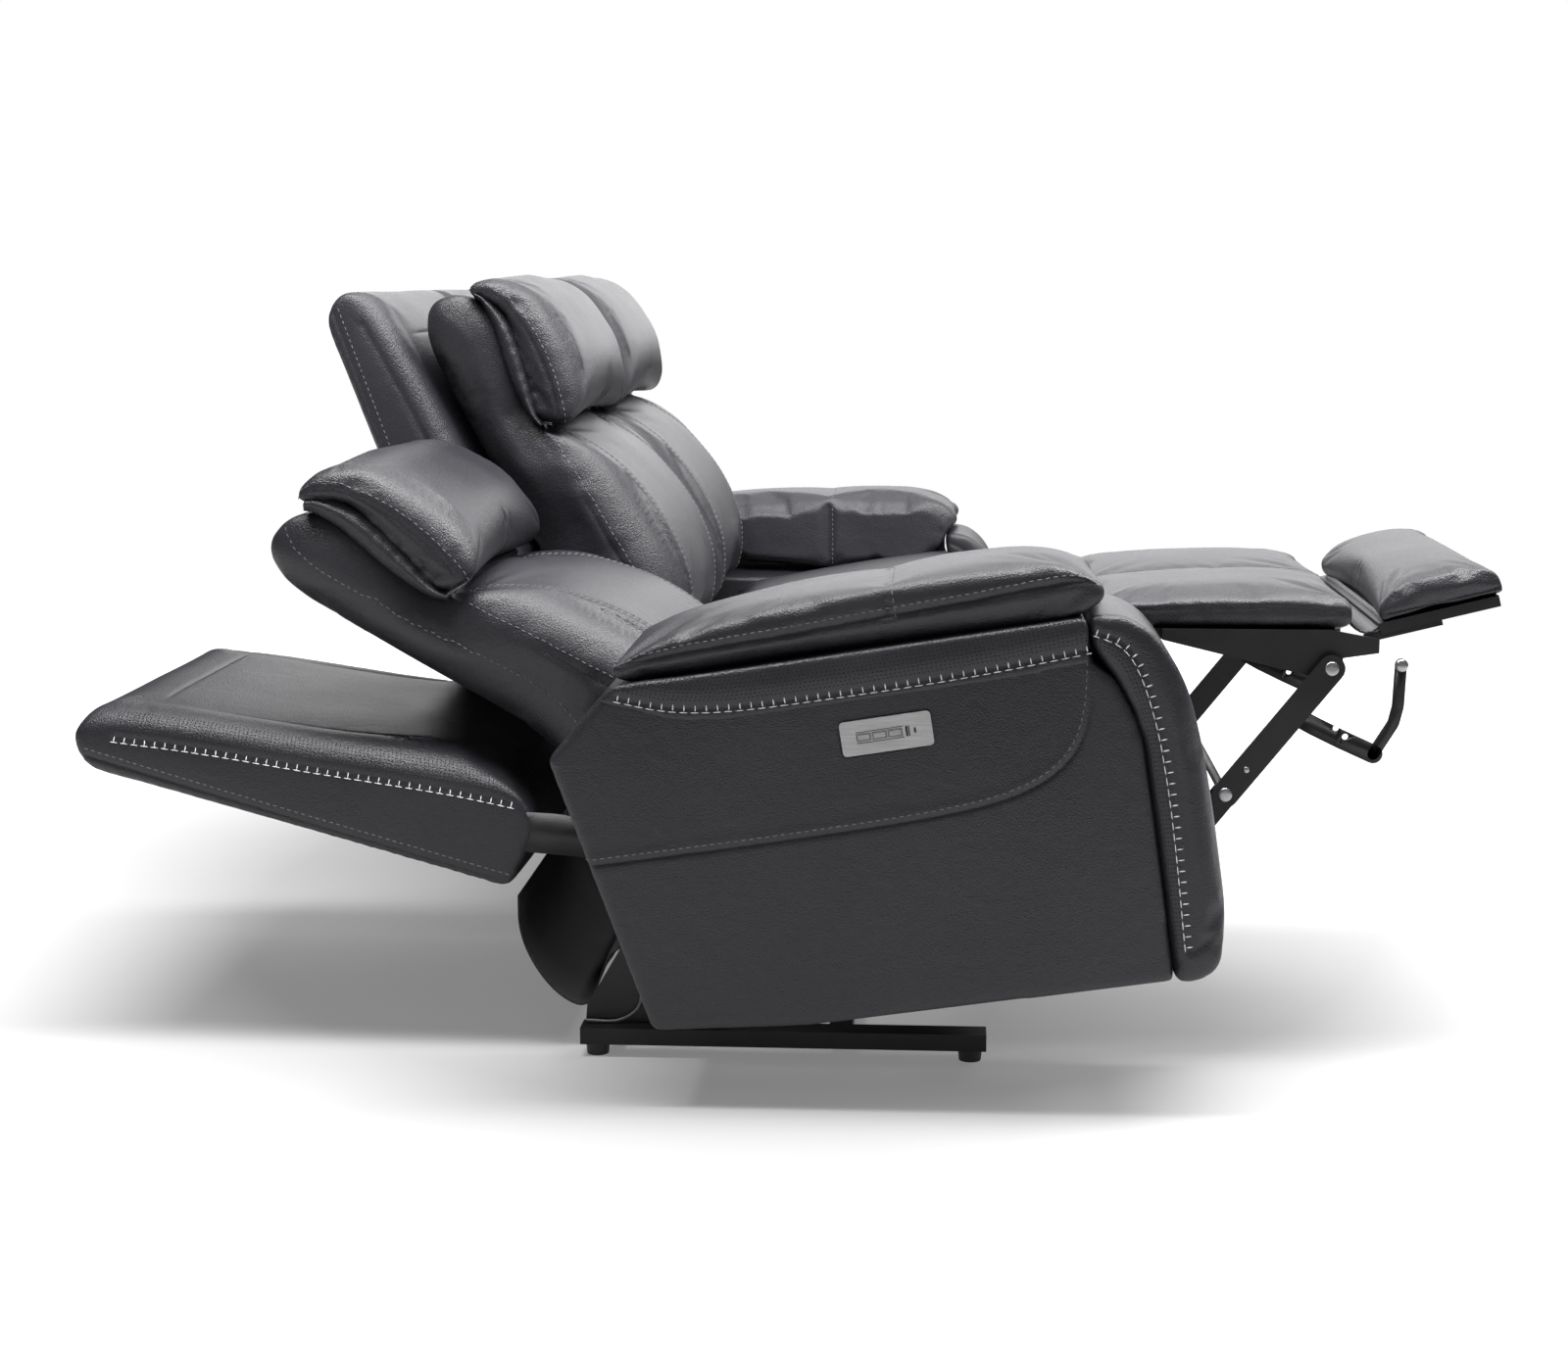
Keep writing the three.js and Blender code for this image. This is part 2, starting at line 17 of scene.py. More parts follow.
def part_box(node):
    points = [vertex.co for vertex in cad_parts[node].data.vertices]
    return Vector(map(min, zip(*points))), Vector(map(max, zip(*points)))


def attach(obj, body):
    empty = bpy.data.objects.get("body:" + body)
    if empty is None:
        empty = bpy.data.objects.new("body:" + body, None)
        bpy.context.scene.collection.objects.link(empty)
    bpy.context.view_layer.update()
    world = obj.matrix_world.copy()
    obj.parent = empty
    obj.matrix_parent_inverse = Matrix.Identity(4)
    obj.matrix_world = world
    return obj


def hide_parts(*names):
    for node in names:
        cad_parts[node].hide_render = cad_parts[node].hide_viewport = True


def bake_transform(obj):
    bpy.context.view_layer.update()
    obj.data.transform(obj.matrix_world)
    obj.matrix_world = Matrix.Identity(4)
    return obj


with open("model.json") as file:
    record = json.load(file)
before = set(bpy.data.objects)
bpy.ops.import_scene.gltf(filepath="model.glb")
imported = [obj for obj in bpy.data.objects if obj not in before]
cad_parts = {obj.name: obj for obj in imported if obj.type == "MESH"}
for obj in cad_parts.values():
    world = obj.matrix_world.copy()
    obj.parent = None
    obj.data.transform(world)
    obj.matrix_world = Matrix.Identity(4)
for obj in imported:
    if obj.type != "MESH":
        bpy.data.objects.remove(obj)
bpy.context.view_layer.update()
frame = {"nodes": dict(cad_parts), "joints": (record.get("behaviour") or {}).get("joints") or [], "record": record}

# %% [markdown]
# Every seat is drawn once, closed, as the right-hand seat would be. A point is given in millimetres as
# (x, z, v): forward, up, and in from the arm's outer face. The left seat is its mirror image, the middle
# one is a shifted copy, and the right one is turned through the frame's own hinges to its stored pose.

# %% Measures taken from the frame
MM = 0.001
OUTER_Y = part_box("right_arm_panel")[0].y
base_low, base_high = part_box("left_base_frame")
ORIGIN_X = (base_low.x + base_high.x) / 2
SEAT_LOW, SEAT_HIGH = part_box("left_seat_cushion")
SEAT_V0 = (-OUTER_Y - SEAT_HIGH.y) / MM
SEAT_V1 = (-OUTER_Y - SEAT_LOW.y) / MM
ARM_V1 = (-OUTER_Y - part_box("left_arm_pad")[0].y) / MM
SEAT_TOP = SEAT_HIGH.z / MM
PAD_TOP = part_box("left_arm_pad")[1].z / MM
PAD_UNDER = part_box("left_arm_pad")[0].z / MM
BAND_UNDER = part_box("left_arm_band")[0].z / MM
SHELL_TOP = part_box("left_back_shell")[1].z / MM
CUSHION_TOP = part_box("left_back_cushion")[1].z / MM
FLIP_V0 = (-OUTER_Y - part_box("left_flip_pad")[1].y) / MM
FLIP_V1 = (-OUTER_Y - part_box("left_flip_pad")[0].y) / MM
CHAISE_V0 = (-OUTER_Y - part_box("left_chaise_pad")[1].y) / MM
CHAISE_V1 = (-OUTER_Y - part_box("left_chaise_pad")[0].y) / MM
JOINTS = {j["name"]: j for j in frame["joints"]}
RATIOS = {c["joint"]: c["ratio"] for c in frame["record"]["behaviour"]["couplings"]}
print("seat from", round(SEAT_V0), "to", round(SEAT_V1), "mm; arm", round(ARM_V1), "mm wide")


def place(x, z, v):
    """A drawing point as a point of the frame, in metres."""
    return Vector((ORIGIN_X + x * MM, OUTER_Y + v * MM, z * MM))


def line(*points):
    return np.array([place(*p) for p in points])


# %% Turn a closed seat to its stored pose
def turn(hinge, degrees):
    joint = JOINTS["left_" + hinge]
    about = Vector((joint["pos_m"][0], 0, joint["pos_m"][2]))
    spin = Matrix.Rotation(math.radians(degrees), 4, Vector(joint["axis"]))
    return Matrix.Translation(about) @ spin @ Matrix.Translation(-about)


GLIDE = -JOINTS["right_seat_glide"]["range_deg"][0]
LIFT = -JOINTS["right_footrest"]["range_deg"][0]
NOD = -JOINTS["right_headrest_tilt"]["range_deg"][1]
carriage_turn = turn("seat_glide", GLIDE)
back_turn = carriage_turn @ turn("back_recline", GLIDE * RATIOS["right_back_recline"])
rest_turn = back_turn @ turn("back_tilt", GLIDE * RATIOS["right_back_tilt"])
ottoman_turn = carriage_turn @ turn("footrest", LIFT)
lower_turn = carriage_turn @ turn("lower_link", LIFT * RATIOS["right_lower_link"])
STORED = {
    "carriage": carriage_turn,
    "back": back_turn,
    "backrest": rest_turn,
    "headrest": rest_turn @ turn("headrest_tilt", NOD),
    "ottoman": ottoman_turn,
    "lower_links": lower_turn,
    "upper_links": lower_turn @ turn("upper_link", LIFT * RATIOS["right_upper_link"]),
    "flip": ottoman_turn @ turn("flip", LIFT * RATIOS["right_flip"]),
}
MIDDLE_SHIFT = Matrix.Translation((0, -(OUTER_Y + (SEAT_V0 + SEAT_V1) / 2 * MM), 0))
MIRROR = Matrix.Scale(-1, 4, (0, 1, 0))
print("right seat glides", GLIDE, "degrees and lifts its footrest", LIFT)

# %% [markdown]
# Shader sums read best as sums. This small class wraps a socket, so that grain * 0.3 + 0.4 makes the Math
# nodes itself. Any other node comes from one method, which takes its settings and then its inputs.


# %% Shader maths
class Val:
    def __init__(self, tree, socket):
        self.tree = tree
        self.socket = socket

    def math(self, operation, other, flipped=False):
        node = self.tree.nodes.new("ShaderNodeMath")
        node.operation = operation
        for slot, value in zip(node.inputs, (other, self) if flipped else (self, other)):
            if isinstance(value, Val):
                self.tree.links.new(value.socket, slot)
            else:
                slot.default_value = value
        return Val(self.tree, node.outputs[0])

    def __add__(self, other):
        return self.math("ADD", other)

    def __sub__(self, other):
        return self.math("SUBTRACT", other)

    def __rsub__(self, other):
        return self.math("SUBTRACT", other, True)

    def __mul__(self, other):
        return self.math("MULTIPLY", other)

    __radd__ = __add__
    __rmul__ = __mul__


class Finish:
    """A material under construction, with its Principled shader ready."""

    def __init__(self, name):
        self.material = bpy.data.materials.new(name)
        self.material.use_nodes = True
        self.tree = self.material.node_tree
        self.shader = self.tree.nodes["Principled BSDF"]

    def node(self, kind, settings=None, output=0, **inputs):
        node = self.tree.nodes.new(kind)
        for name, value in (settings or {}).items():
            setattr(node, name, value)
        self.feed(node, inputs)
        return Val(self.tree, node.outputs[output])

    def feed(self, node, inputs):
        for name, value in inputs.items():
            slot = node.inputs[name.replace("_", " ") if name.replace("_", " ") in node.inputs else name]
            if isinstance(value, Val):
                self.tree.links.new(value.socket, slot)
            else:
                slot.default_value = value

    def where(self):
        return self.node("ShaderNodeTexCoord", output=3)

    def ramp(self, factor, *stops):
        """A colour ramp; each stop is (position, colour)."""
        node = self.tree.nodes.new("ShaderNodeValToRGB")
        elements = node.color_ramp.elements
        while len(elements) < len(stops):
            elements.new(0.5)
        for element, (position, colour) in zip(elements, stops):
            element.position = position
            element.color = (*colour, 1)
        self.tree.links.new(factor.socket, node.inputs[0])
        return Val(self.tree, node.outputs[0])

    def bump(self, height, distance, strength=1.0, normal=None):
        inputs = {"Height": height, "Distance": distance, "Strength": strength}
        if normal:
            inputs["Normal"] = normal
        return self.node("ShaderNodeBump", **inputs)

    def done(self, **sockets):
        self.feed(self.shader, sockets)
        return self.material


# %% [markdown]
# The leather is a corrected-grain charcoal hide with a slightly violet cast. Up close it is a fine pebble:
# small cells with soft valleys between them. Larger, slower noise moves its colour and its gloss a little,
# as handling does, and a stretched noise gives the faint drag lines that a pulled cover has.


# %% Leather
def leather(name, tone, gloss):
    f = Finish(name)
    where = f.where()
    pebble = f.node("ShaderNodeTexVoronoi", {"feature": "SMOOTH_F1"}, Vector=where, Scale=520.0)
    pores = f.node("ShaderNodeTexNoise", Vector=where, Scale=1500.0, Detail=2.0)
    cloud = f.node("ShaderNodeTexNoise", Vector=where, Scale=7.0, Detail=4.0)
    drag = f.node("ShaderNodeTexNoise", Vector=where, Scale=26.0, Detail=3.0, Distortion=1.2)
    low = tuple(c * 0.82 for c in tone)
    high = tuple(c * 1.2 for c in tone)
    colour = f.ramp(cloud + (pebble - 0.4) * 0.3, (0.3, low), (0.75, high))
    rough = cloud * 0.16 + pebble * 0.12 + (gloss - 0.12)
    slow = f.bump(drag, 0.0014, 0.55)
    fine = f.bump(1 - pebble + pores * 0.35, 0.0007, 0.8, slow)
    return f.done(Base_Color=colour, Roughness=rough, Normal=fine, Specular_IOR_Level=0.42)


LEATHER = leather("charcoal_leather", (0.0195, 0.0184, 0.0228), 0.38)


# %% [markdown]
# The linkage is painted steel, nearly black, with a light orange peel and a little dust. The control plate
# is satin plated metal, brushed along its length. The feet are moulded plastic and the flap is black cloth.


# %% Hard finishes and cloth
def painted_steel():
    f = Finish("black_painted_steel")
    where = f.where()
    peel = f.node("ShaderNodeTexNoise", Vector=where, Scale=420.0, Detail=2.0)
    dust = f.node("ShaderNodeTexNoise", Vector=where, Scale=9.0, Detail=5.0)
    colour = f.ramp(dust, (0.35, (0.008, 0.008, 0.009)), (0.8, (0.022, 0.021, 0.022)))
    return f.done(Base_Color=colour, Roughness=dust * 0.25 + 0.3, Metallic=0.35,
                  Normal=f.bump(peel, 0.0002, 0.4))


def satin_metal(name, tone, rough, metal=0.9):
    f = Finish(name)
    stretch = f.node("ShaderNodeMapping", Vector=f.where(), Scale=(30.0, 900.0, 900.0))
    brush = f.node("ShaderNodeTexNoise", Vector=stretch, Scale=1.0, Detail=3.0)
    colour = f.ramp(brush, (0.3, tuple(c * 0.85 for c in tone)), (0.7, tuple(c * 1.15 for c in tone)))
    return f.done(Base_Color=colour, Roughness=brush * 0.2 + rough, Metallic=metal,
                  Normal=f.bump(brush, 0.0001, 0.3))


def moulded_plastic():
    f = Finish("black_plastic")
    grain = f.node("ShaderNodeTexNoise", Vector=f.where(), Scale=900.0, Detail=2.0)
    colour = f.ramp(grain, (0.3, (0.007, 0.007, 0.008)), (0.7, (0.014, 0.014, 0.015)))
    return f.done(Base_Color=colour, Roughness=grain * 0.2 + 0.4, Normal=f.bump(grain, 0.0002, 0.5))


def woven_cloth():
    f = Finish("black_cloth")
    where = f.where()
    warp = f.node("ShaderNodeTexWave", {"bands_direction": "X"}, Vector=where, Scale=260.0)
    weft = f.node("ShaderNodeTexWave", {"bands_direction": "Y"}, Vector=where, Scale=260.0)
    weave = warp * 0.5 + weft * 0.5
    colour = f.ramp(weave, (0.2, (0.010, 0.010, 0.011)), (0.9, (0.030, 0.029, 0.032)))
    return f.done(Base_Color=colour, Roughness=weave * 0.1 + 0.8, Normal=f.bump(weave, 0.0004, 0.6))


def sewing_thread():
    f = Finish("grey_thread")
    twist = f.node("ShaderNodeTexWave", {"bands_direction": "DIAGONAL"}, Vector=f.where(), Scale=700.0)
    colour = f.ramp(twist, (0.2, (0.075, 0.075, 0.085)), (0.9, (0.16, 0.16, 0.175)))
    return f.done(Base_Color=colour, Roughness=twist * 0.1 + 0.6)


STEEL = painted_steel()
SILVER = satin_metal("satin_control_plate", (0.42, 0.42, 0.425), 0.34, 0.35)
BUTTON_METAL = satin_metal("satin_button", (0.36, 0.36, 0.365), 0.3, 0.35)
ZINC = satin_metal("zinc_rivet", (0.34, 0.34, 0.35), 0.2)
PLASTIC = moulded_plastic()
CLOTH = woven_cloth()
THREAD = sewing_thread()


# Perforations are not cut: each is a near-black mark on the leather, painted shade standing for the dark inside a
# hole.
def painted_hole_shade():
    f = Finish("perforation")
    speck = f.node("ShaderNodeTexNoise", Vector=f.where(), Scale=500.0)
    return f.done(Base_Color=f.ramp(speck, (0.3, (0.002, 0.002, 0.002)), (0.7, (0.006, 0.006, 0.006))),
                  Roughness=speck * 0.1 + 0.85)


HOLE_SHADE = painted_hole_shade()

# %% [markdown]
# A cushion starts as a block cut to its side outline. A voxel remesh turns it into an even skin, a few
# rounds of smoothing round its edges as foam does, and cloth pressure swells it while its seams hold it
# down. Seams are pressed in afterwards, because a remesh would lose them.


# %% Cut and remesh a block
def loop_of(corners, step=7.0):
    """A closed side outline in mm, its corners rounded to their third value, as evenly spaced points."""
    points = [np.array(c[:2], float) for c in corners]
    radii = [c[2] if len(c) > 2 else 0 for c in corners]
    made = []
    for i, (here, radius) in enumerate(zip(points, radii)):
        before = points[i - 1] - here
        after = points[(i + 1) % len(points)] - here
        reach = min(radius, 0.48 * np.linalg.norm(before), 0.48 * np.linalg.norm(after))
        start = here + before / np.linalg.norm(before) * reach
        end = here + after / np.linalg.norm(after) * reach
        for t in np.linspace(0, 1, 7 if reach > 0 else 1):
            made.append((1 - t) ** 2 * start + 2 * t * (1 - t) * here + t * t * end)
    return evenly(np.array(made + made[:1]), step)[:-1]


def evenly(path, step):
    """The same path with points about one step apart."""
    gaps = np.linalg.norm(np.diff(path, axis=0), axis=1)
    along = np.concatenate([[0], np.cumsum(gaps)])
    count = max(2, int(round(along[-1] / step)) + 1)
    wanted = np.linspace(0, along[-1], count)
    return np.stack([np.interp(wanted, along, path[:, k]) for k in range(path.shape[1])], 1)


def mesh_from(name, points, faces):
    mesh = bpy.data.meshes.new(name)
    mesh.from_pydata([tuple(p) for p in points], [], faces)
    mesh.update()
    return mesh


def outward(mesh):
    """The same closed mesh with every face turned outward."""
    work = bmesh.new()
    work.from_mesh(mesh)
    bmesh.ops.recalc_face_normals(work, faces=work.faces)
    work.to_mesh(mesh)
    work.free()
    return mesh


def softly_shaded(mesh):
    for polygon in mesh.polygons:
        polygon.use_smooth = True
    return mesh


def left_of(path):
    """Unit steps to the left of a side-on path, in the x and z plane."""
    run = np.gradient(path, axis=0)
    left = np.stack([-run[:, 2], 0 * run[:, 1], run[:, 0]], 1)
    return left / np.maximum(np.linalg.norm(left, axis=1)[:, None], 1e-9)


def add_object(name, mesh):
    made = bpy.data.objects.new(name, mesh)
    bpy.context.scene.collection.objects.link(made)
    return made


def take_mesh(holder, name):
    """The holder's mesh with its modifiers applied, and the holder gone."""
    graph = bpy.context.evaluated_depsgraph_get()
    mesh = bpy.data.meshes.new_from_object(holder.evaluated_get(graph))
    mesh.name = name
    bpy.data.objects.remove(holder)
    return mesh


def block(name, loop, v0, v1):
    """A solid of a side outline between two distances in from the outer face."""
    n = len(loop)
    points = [place(x, z, v) for v in (v0, v1) for x, z in loop]
    faces = [tuple(range(n)), tuple(reversed(range(n, 2 * n)))]
    faces += [(i, i + n, (i + 1) % n + n, (i + 1) % n) for i in range(n)]
    return outward(mesh_from(name, points, faces))


def skinned(mesh, voxel):
    holder = add_object("holder", mesh)
    remesh = holder.modifiers.new("skin", "REMESH")
    remesh.mode = "VOXEL"
    remesh.voxel_size = voxel * MM
    return take_mesh(holder, mesh.name)


# %% Work on a mesh as arrays
def spots(mesh):
    co = np.empty(len(mesh.vertices) * 3)
    mesh.vertices.foreach_get("co", co)
    return co.reshape(-1, 3)


def normals(mesh):
    out = np.empty(len(mesh.vertices) * 3, np.float32)
    mesh.vertex_normals.foreach_get("vector", out)
    return out.reshape(-1, 3).astype(float)


def set_spots(mesh, co):
    mesh.vertices.foreach_set("co", co.ravel())
    mesh.update()


def smoothed(mesh, rounds, keep=None):
    """Relaxes a skin towards its neighbours. keep holds some of its points, from 0, free, to 1, held."""
    edges = np.empty(len(mesh.edges) * 2, int)
    mesh.edges.foreach_get("vertices", edges)
    a, b = edges.reshape(-1, 2).T
    co = spots(mesh)
    count = np.bincount(np.concatenate([a, b]), minlength=len(co))[:, None]
    free = 1.0 if keep is None else (1 - keep)[:, None]
    for _ in range(rounds):
        total = np.zeros_like(co)
        for k in range(3):
            total[:, k] = np.bincount(a, co[b, k], len(co)) + np.bincount(b, co[a, k], len(co))
        co = co + free * 0.6 * (total / np.maximum(count, 1) - co)
    set_spots(mesh, co)
    return mesh


def tree_of(points):
    tree = KDTree(len(points))
    for i, p in enumerate(points):
        tree.insert(p, i)
    tree.balance()
    return tree


def nearness(co, paths, width):
    """How near each point is to any of the paths: 1 on it, falling away over the width, in mm."""
    tree = tree_of(np.concatenate([evenly(np.asarray(p), 0.0015) for p in paths]))
    far = np.array([tree.find(c)[2] for c in co])
    return np.exp(-((far / (width * MM)) ** 2))


def on_skin(mesh, path, step=3.0, lift=0.0):
    """A path laid on a skin, as points and the skin's normals there."""
    tree = BVHTree.FromPolygons(spots(mesh).tolist(), [tuple(p.vertices) for p in mesh.polygons])
    made = [tree.find_nearest(Vector(p))[:2] for p in evenly(np.asarray(path), step * MM)]
    ups = np.array([u for _, u in made])
    for _ in range(3):
        ups[1:-1] = (ups[:-2] + ups[1:-1] * 2 + ups[2:]) / 4
    ups /= np.linalg.norm(ups, axis=1)[:, None]
    return np.array([p for p, _ in made]) + ups * lift * MM, ups


# %% Swell a skin with cloth pressure
def swollen(mesh, seams, pressure, cap, frames=14, hold=9.0):
    """Cloth under pressure from inside, held along its seams, and moved by no more than the cap in mm."""
    before = spots(mesh)
    holder = add_object("holder", mesh)
    if seams:
        held = nearness(before, seams, hold)
        group = holder.vertex_groups.new(name="held")
        for i in np.nonzero(held > 0.05)[0]:
            group.add([int(i)], float(held[i]), "REPLACE")
    cloth = holder.modifiers.new("cloth", "CLOTH")
    settings = cloth.settings
    settings.quality = 4
    settings.mass = 0.3
    settings.tension_stiffness = 15
    settings.compression_stiffness = 15
    settings.bending_stiffness = 2.0
    settings.use_pressure = True
    settings.uniform_pressure_force = pressure
    settings.effector_weights.gravity = 0
    if seams:
        settings.vertex_group_mass = "held"
    cloth.collision_settings.use_collision = False
    scene = bpy.context.scene
    for number in range(1, frames + 1):
        scene.frame_set(number)
    graph = bpy.context.evaluated_depsgraph_get()
    after = spots(holder.evaluated_get(graph).data)
    scene.frame_set(1)
    bpy.data.objects.remove(holder)
    move = after - before
    size = np.linalg.norm(move, axis=1, keepdims=True)
    limit = cap * MM
    move *= limit * np.tanh(size / limit) / np.maximum(size, 1e-9)
    set_spots(mesh, before + move)
    return mesh


def refined(mesh, seams, reach):
    """Cuts the skin's faces smaller beside its seams, so that a narrow groove has points to bend."""
    near = nearness(spots(mesh), seams, reach) > 0.37
    work = bmesh.new()
    work.from_mesh(mesh)
    work.verts.ensure_lookup_table()
    edges = [e for e in work.edges if near[e.verts[0].index] and near[e.verts[1].index]]
    bmesh.ops.subdivide_edges(work, edges=edges, cuts=1, use_grid_fill=True)
    work.to_mesh(mesh)
    work.free()
    return mesh


def pressed(mesh, seams, width, depth):
    """Presses seams into a skin, as a groove of that width and depth in mm."""
    if width < 8 and depth > 0:
        mesh = refined(refined(mesh, seams, width + 6), seams, width + 1)
    co = spots(mesh)
    set_spots(mesh, co - normals(mesh) * (nearness(co, seams, width) * depth * MM)[:, None])
    return mesh


def boxed(mesh, v0, v1):
    """Flattens what swelled past the neighbours' faces."""
    co = spots(mesh)
    co[:, 1] = np.clip(co[:, 1], OUTER_Y + v0 * MM, OUTER_Y + v1 * MM)
    set_spots(mesh, co)
    return mesh


def domed(mesh, loop, v0, v1, reach, draw):
    """Draws in the rim of both side faces, so that each side bellies out between its edges."""
    tree = tree_of([place(x, z, 0) for x, z in evenly(np.concatenate([loop, loop[:1]]), 4.0)])
    co = spots(mesh)
    middle = OUTER_Y + (v0 + v1) / 2 * MM
    half = (v1 - v0) / 2 * MM
    out = np.abs(co[:, 1] - middle)
    far = np.array([tree.find((c[0], OUTER_Y, c[2]))[2] for c in co]) / (reach * MM)
    pull = draw * MM * (1 - np.clip(far, 0, 1)) ** 2 * np.clip((out / half - 0.8) / 0.2, 0, 1)
    co[:, 1] -= np.sign(co[:, 1] - middle) * pull
    set_spots(mesh, co)
    return mesh


def crumpled(mesh, paths, reach, height, seed, wave=38.0):
    """Small folds beside a seam: ripples that run across it and fade over the reach, in mm."""
    co = spots(mesh)
    rng = np.random.default_rng(seed)
    field = np.zeros(len(co))
    for _ in range(7):
        way = rng.normal(size=3)
        way *= 2 * math.pi / (wave * MM * rng.uniform(0.6, 1.7)) / np.linalg.norm(way)
        field += np.sin(co @ way + rng.uniform(0, 6.28)) / 7
    near = nearness(co, paths, reach) if paths else np.ones(len(co))
    set_spots(mesh, co + normals(mesh) * (field * near * height * 2 * MM)[:, None])
    return mesh

# %% [markdown]
# Stitches, ladder rungs and perforations are all the same thing: one small shape repeated along a path that
# lies on the leather. A Geometry Nodes tree does it. The path carries the skin's normal as an attribute, so
# that each stitch lies flat on the surface it is sewn to.


# %% A row of repeated marks, as a node tree
def row_tree():
    tree = bpy.data.node_groups.new("sewn_row", "GeometryNodeTree")
    face = tree.interface
    face.new_socket("Path", in_out="INPUT", socket_type="NodeSocketGeometry")
    for name in ("Pitch", "Length", "Width", "Height"):
        face.new_socket(name, in_out="INPUT", socket_type="NodeSocketFloat").default_value = 0.001
    face.new_socket("Finish", in_out="INPUT", socket_type="NodeSocketMaterial")
    face.new_socket("Row", in_out="OUTPUT", socket_type="NodeSocketGeometry")
    new = tree.nodes.new
    given = new("NodeGroupInput")
    curve = new("GeometryNodeMeshToCurve")
    even = new("GeometryNodeResampleCurve")
    up = new("GeometryNodeInputNamedAttribute")
    along = new("GeometryNodeInputTangent")
    facing = new("FunctionNodeAxesToRotation")
    mark = new("GeometryNodeMeshUVSphere")
    size = new("ShaderNodeCombineXYZ")
    put = new("GeometryNodeInstanceOnPoints")
    real = new("GeometryNodeRealizeInstances")
    paint = new("GeometryNodeSetMaterial")
    out = new("NodeGroupOutput")
    even.mode = "LENGTH"
    up.data_type = "FLOAT_VECTOR"
    up.inputs["Name"].default_value = "up"
    facing.primary_axis, facing.secondary_axis = "X", "Z"
    mark.inputs["Segments"].default_value = 6
    mark.inputs["Rings"].default_value = 4
    mark.inputs["Radius"].default_value = 0.5
    for source, target in (
        (given.outputs["Path"], curve.inputs[0]),
        (curve.outputs[0], even.inputs["Curve"]),
        (given.outputs["Pitch"], even.inputs["Length"]),
        (along.outputs[0], facing.inputs[0]),
        (up.outputs[0], facing.inputs[1]),
        (given.outputs["Length"], size.inputs[0]),
        (given.outputs["Width"], size.inputs[1]),
        (given.outputs["Height"], size.inputs[2]),
        (even.outputs[0], put.inputs["Points"]),
        (mark.outputs[0], put.inputs["Instance"]),
        (facing.outputs[0], put.inputs["Rotation"]),
        (size.outputs[0], put.inputs["Scale"]),
        (put.outputs[0], real.inputs[0]),
        (real.outputs[0], paint.inputs["Geometry"]),
        (given.outputs["Finish"], paint.inputs["Material"]),
        (paint.outputs[0], out.inputs[0]),
    ):
        tree.links.new(source, target)
    return tree


ROW = row_tree()


def marks(name, paths, pitch, length, width, height, finish):
    """Marks of one size, in mm, along (points, normals) paths."""
    points = np.concatenate([p for p, _ in paths])
    ups = np.concatenate([u for _, u in paths])
    ends = np.cumsum([len(p) for p, _ in paths])
    edges = [(i, i + 1) for i in range(len(points) - 1) if i + 1 not in ends]
    mesh = bpy.data.meshes.new(name)
    mesh.from_pydata(points.tolist(), edges, [])
    mesh.attributes.new("up", "FLOAT_VECTOR", "POINT").data.foreach_set("vector", ups.ravel())
    holder = add_object("holder", mesh)
    nodes = holder.modifiers.new("row", "NODES")
    nodes.node_group = ROW
    names = {s.name: s.identifier for s in ROW.interface.items_tree}
    for key, value in (("Pitch", pitch), ("Length", length), ("Width", width), ("Height", height)):
        nodes[names[key]] = value * MM
    nodes[names["Finish"]] = finish
    return softly_shaded(take_mesh(holder, name))


def shifted(path, aside):
    """A side-on path moved to its left by so many mm, in the x and z plane."""
    path = evenly(np.asarray(path), 0.004)
    return path + left_of(path) * aside * MM


def eased(path, rounds=2):
    """Corners cut from an open path, so that it runs as a curve."""
    for _ in range(rounds):
        inner = np.stack([path[:-1] * 0.75 + path[1:] * 0.25, path[:-1] * 0.25 + path[1:] * 0.75], 1)
        path = np.concatenate([path[:1], inner.reshape(-1, 3), path[-1:]])
    return path


def at(v, points):
    """A side path in mm, eased, at one distance in from the arm's face."""
    return eased(line(*[(x, z, v) for x, z in points]))


def ends(v0, v1, points):
    """The same side path near both ends of a piece."""
    return [at(v0, points), at(v1, points)]


def single_stitches(name, mesh, paths):
    return marks(name, [on_skin(mesh, p, lift=0.2) for p in paths], 9.6, 7.0, 1.7, 1.1, THREAD)


def ladder(name, mesh, paths, rung=10.5):
    """Box stitching: rungs across a path, with a line of thread along their lower ends."""
    rungs = marks(name, [on_skin(mesh, p, lift=0.2) for p in paths], 13.4, 1.6, rung, 1.2, THREAD)
    sides = [shifted(p, -rung / 2) for p in paths]
    rails = marks(name, [on_skin(mesh, p, lift=0.1) for p in sides], 13.4, 11.6, 1.3, 0.9, THREAD)
    return welded(name, [rungs, rails])


# Each perforation is a near-black mark laid on the skin, painted shade of a hole.
def perforations(name, mesh, paths, pitch=5.4):
    return marks(name, [on_skin(mesh, p, lift=0.02) for p in paths], pitch, 2.0, 2.0, 0.32, HOLE_SHADE)


def welded(name, meshes):
    """Several meshes of one material as one."""
    points, faces, start = [], [], 0
    for mesh in meshes:
        points.append(spots(mesh))
        faces += [tuple(v + start for v in p.vertices) for p in mesh.polygons]
        start += len(mesh.vertices)
    made = mesh_from(name, np.concatenate(points), faces)
    made.materials.append(meshes[0].materials[0])
    return softly_shaded(made)


# %% Stand a drawn piece in its seats
BOTH = ("right", "left")
ALL = ("right", "middle", "left")
COUNT = []


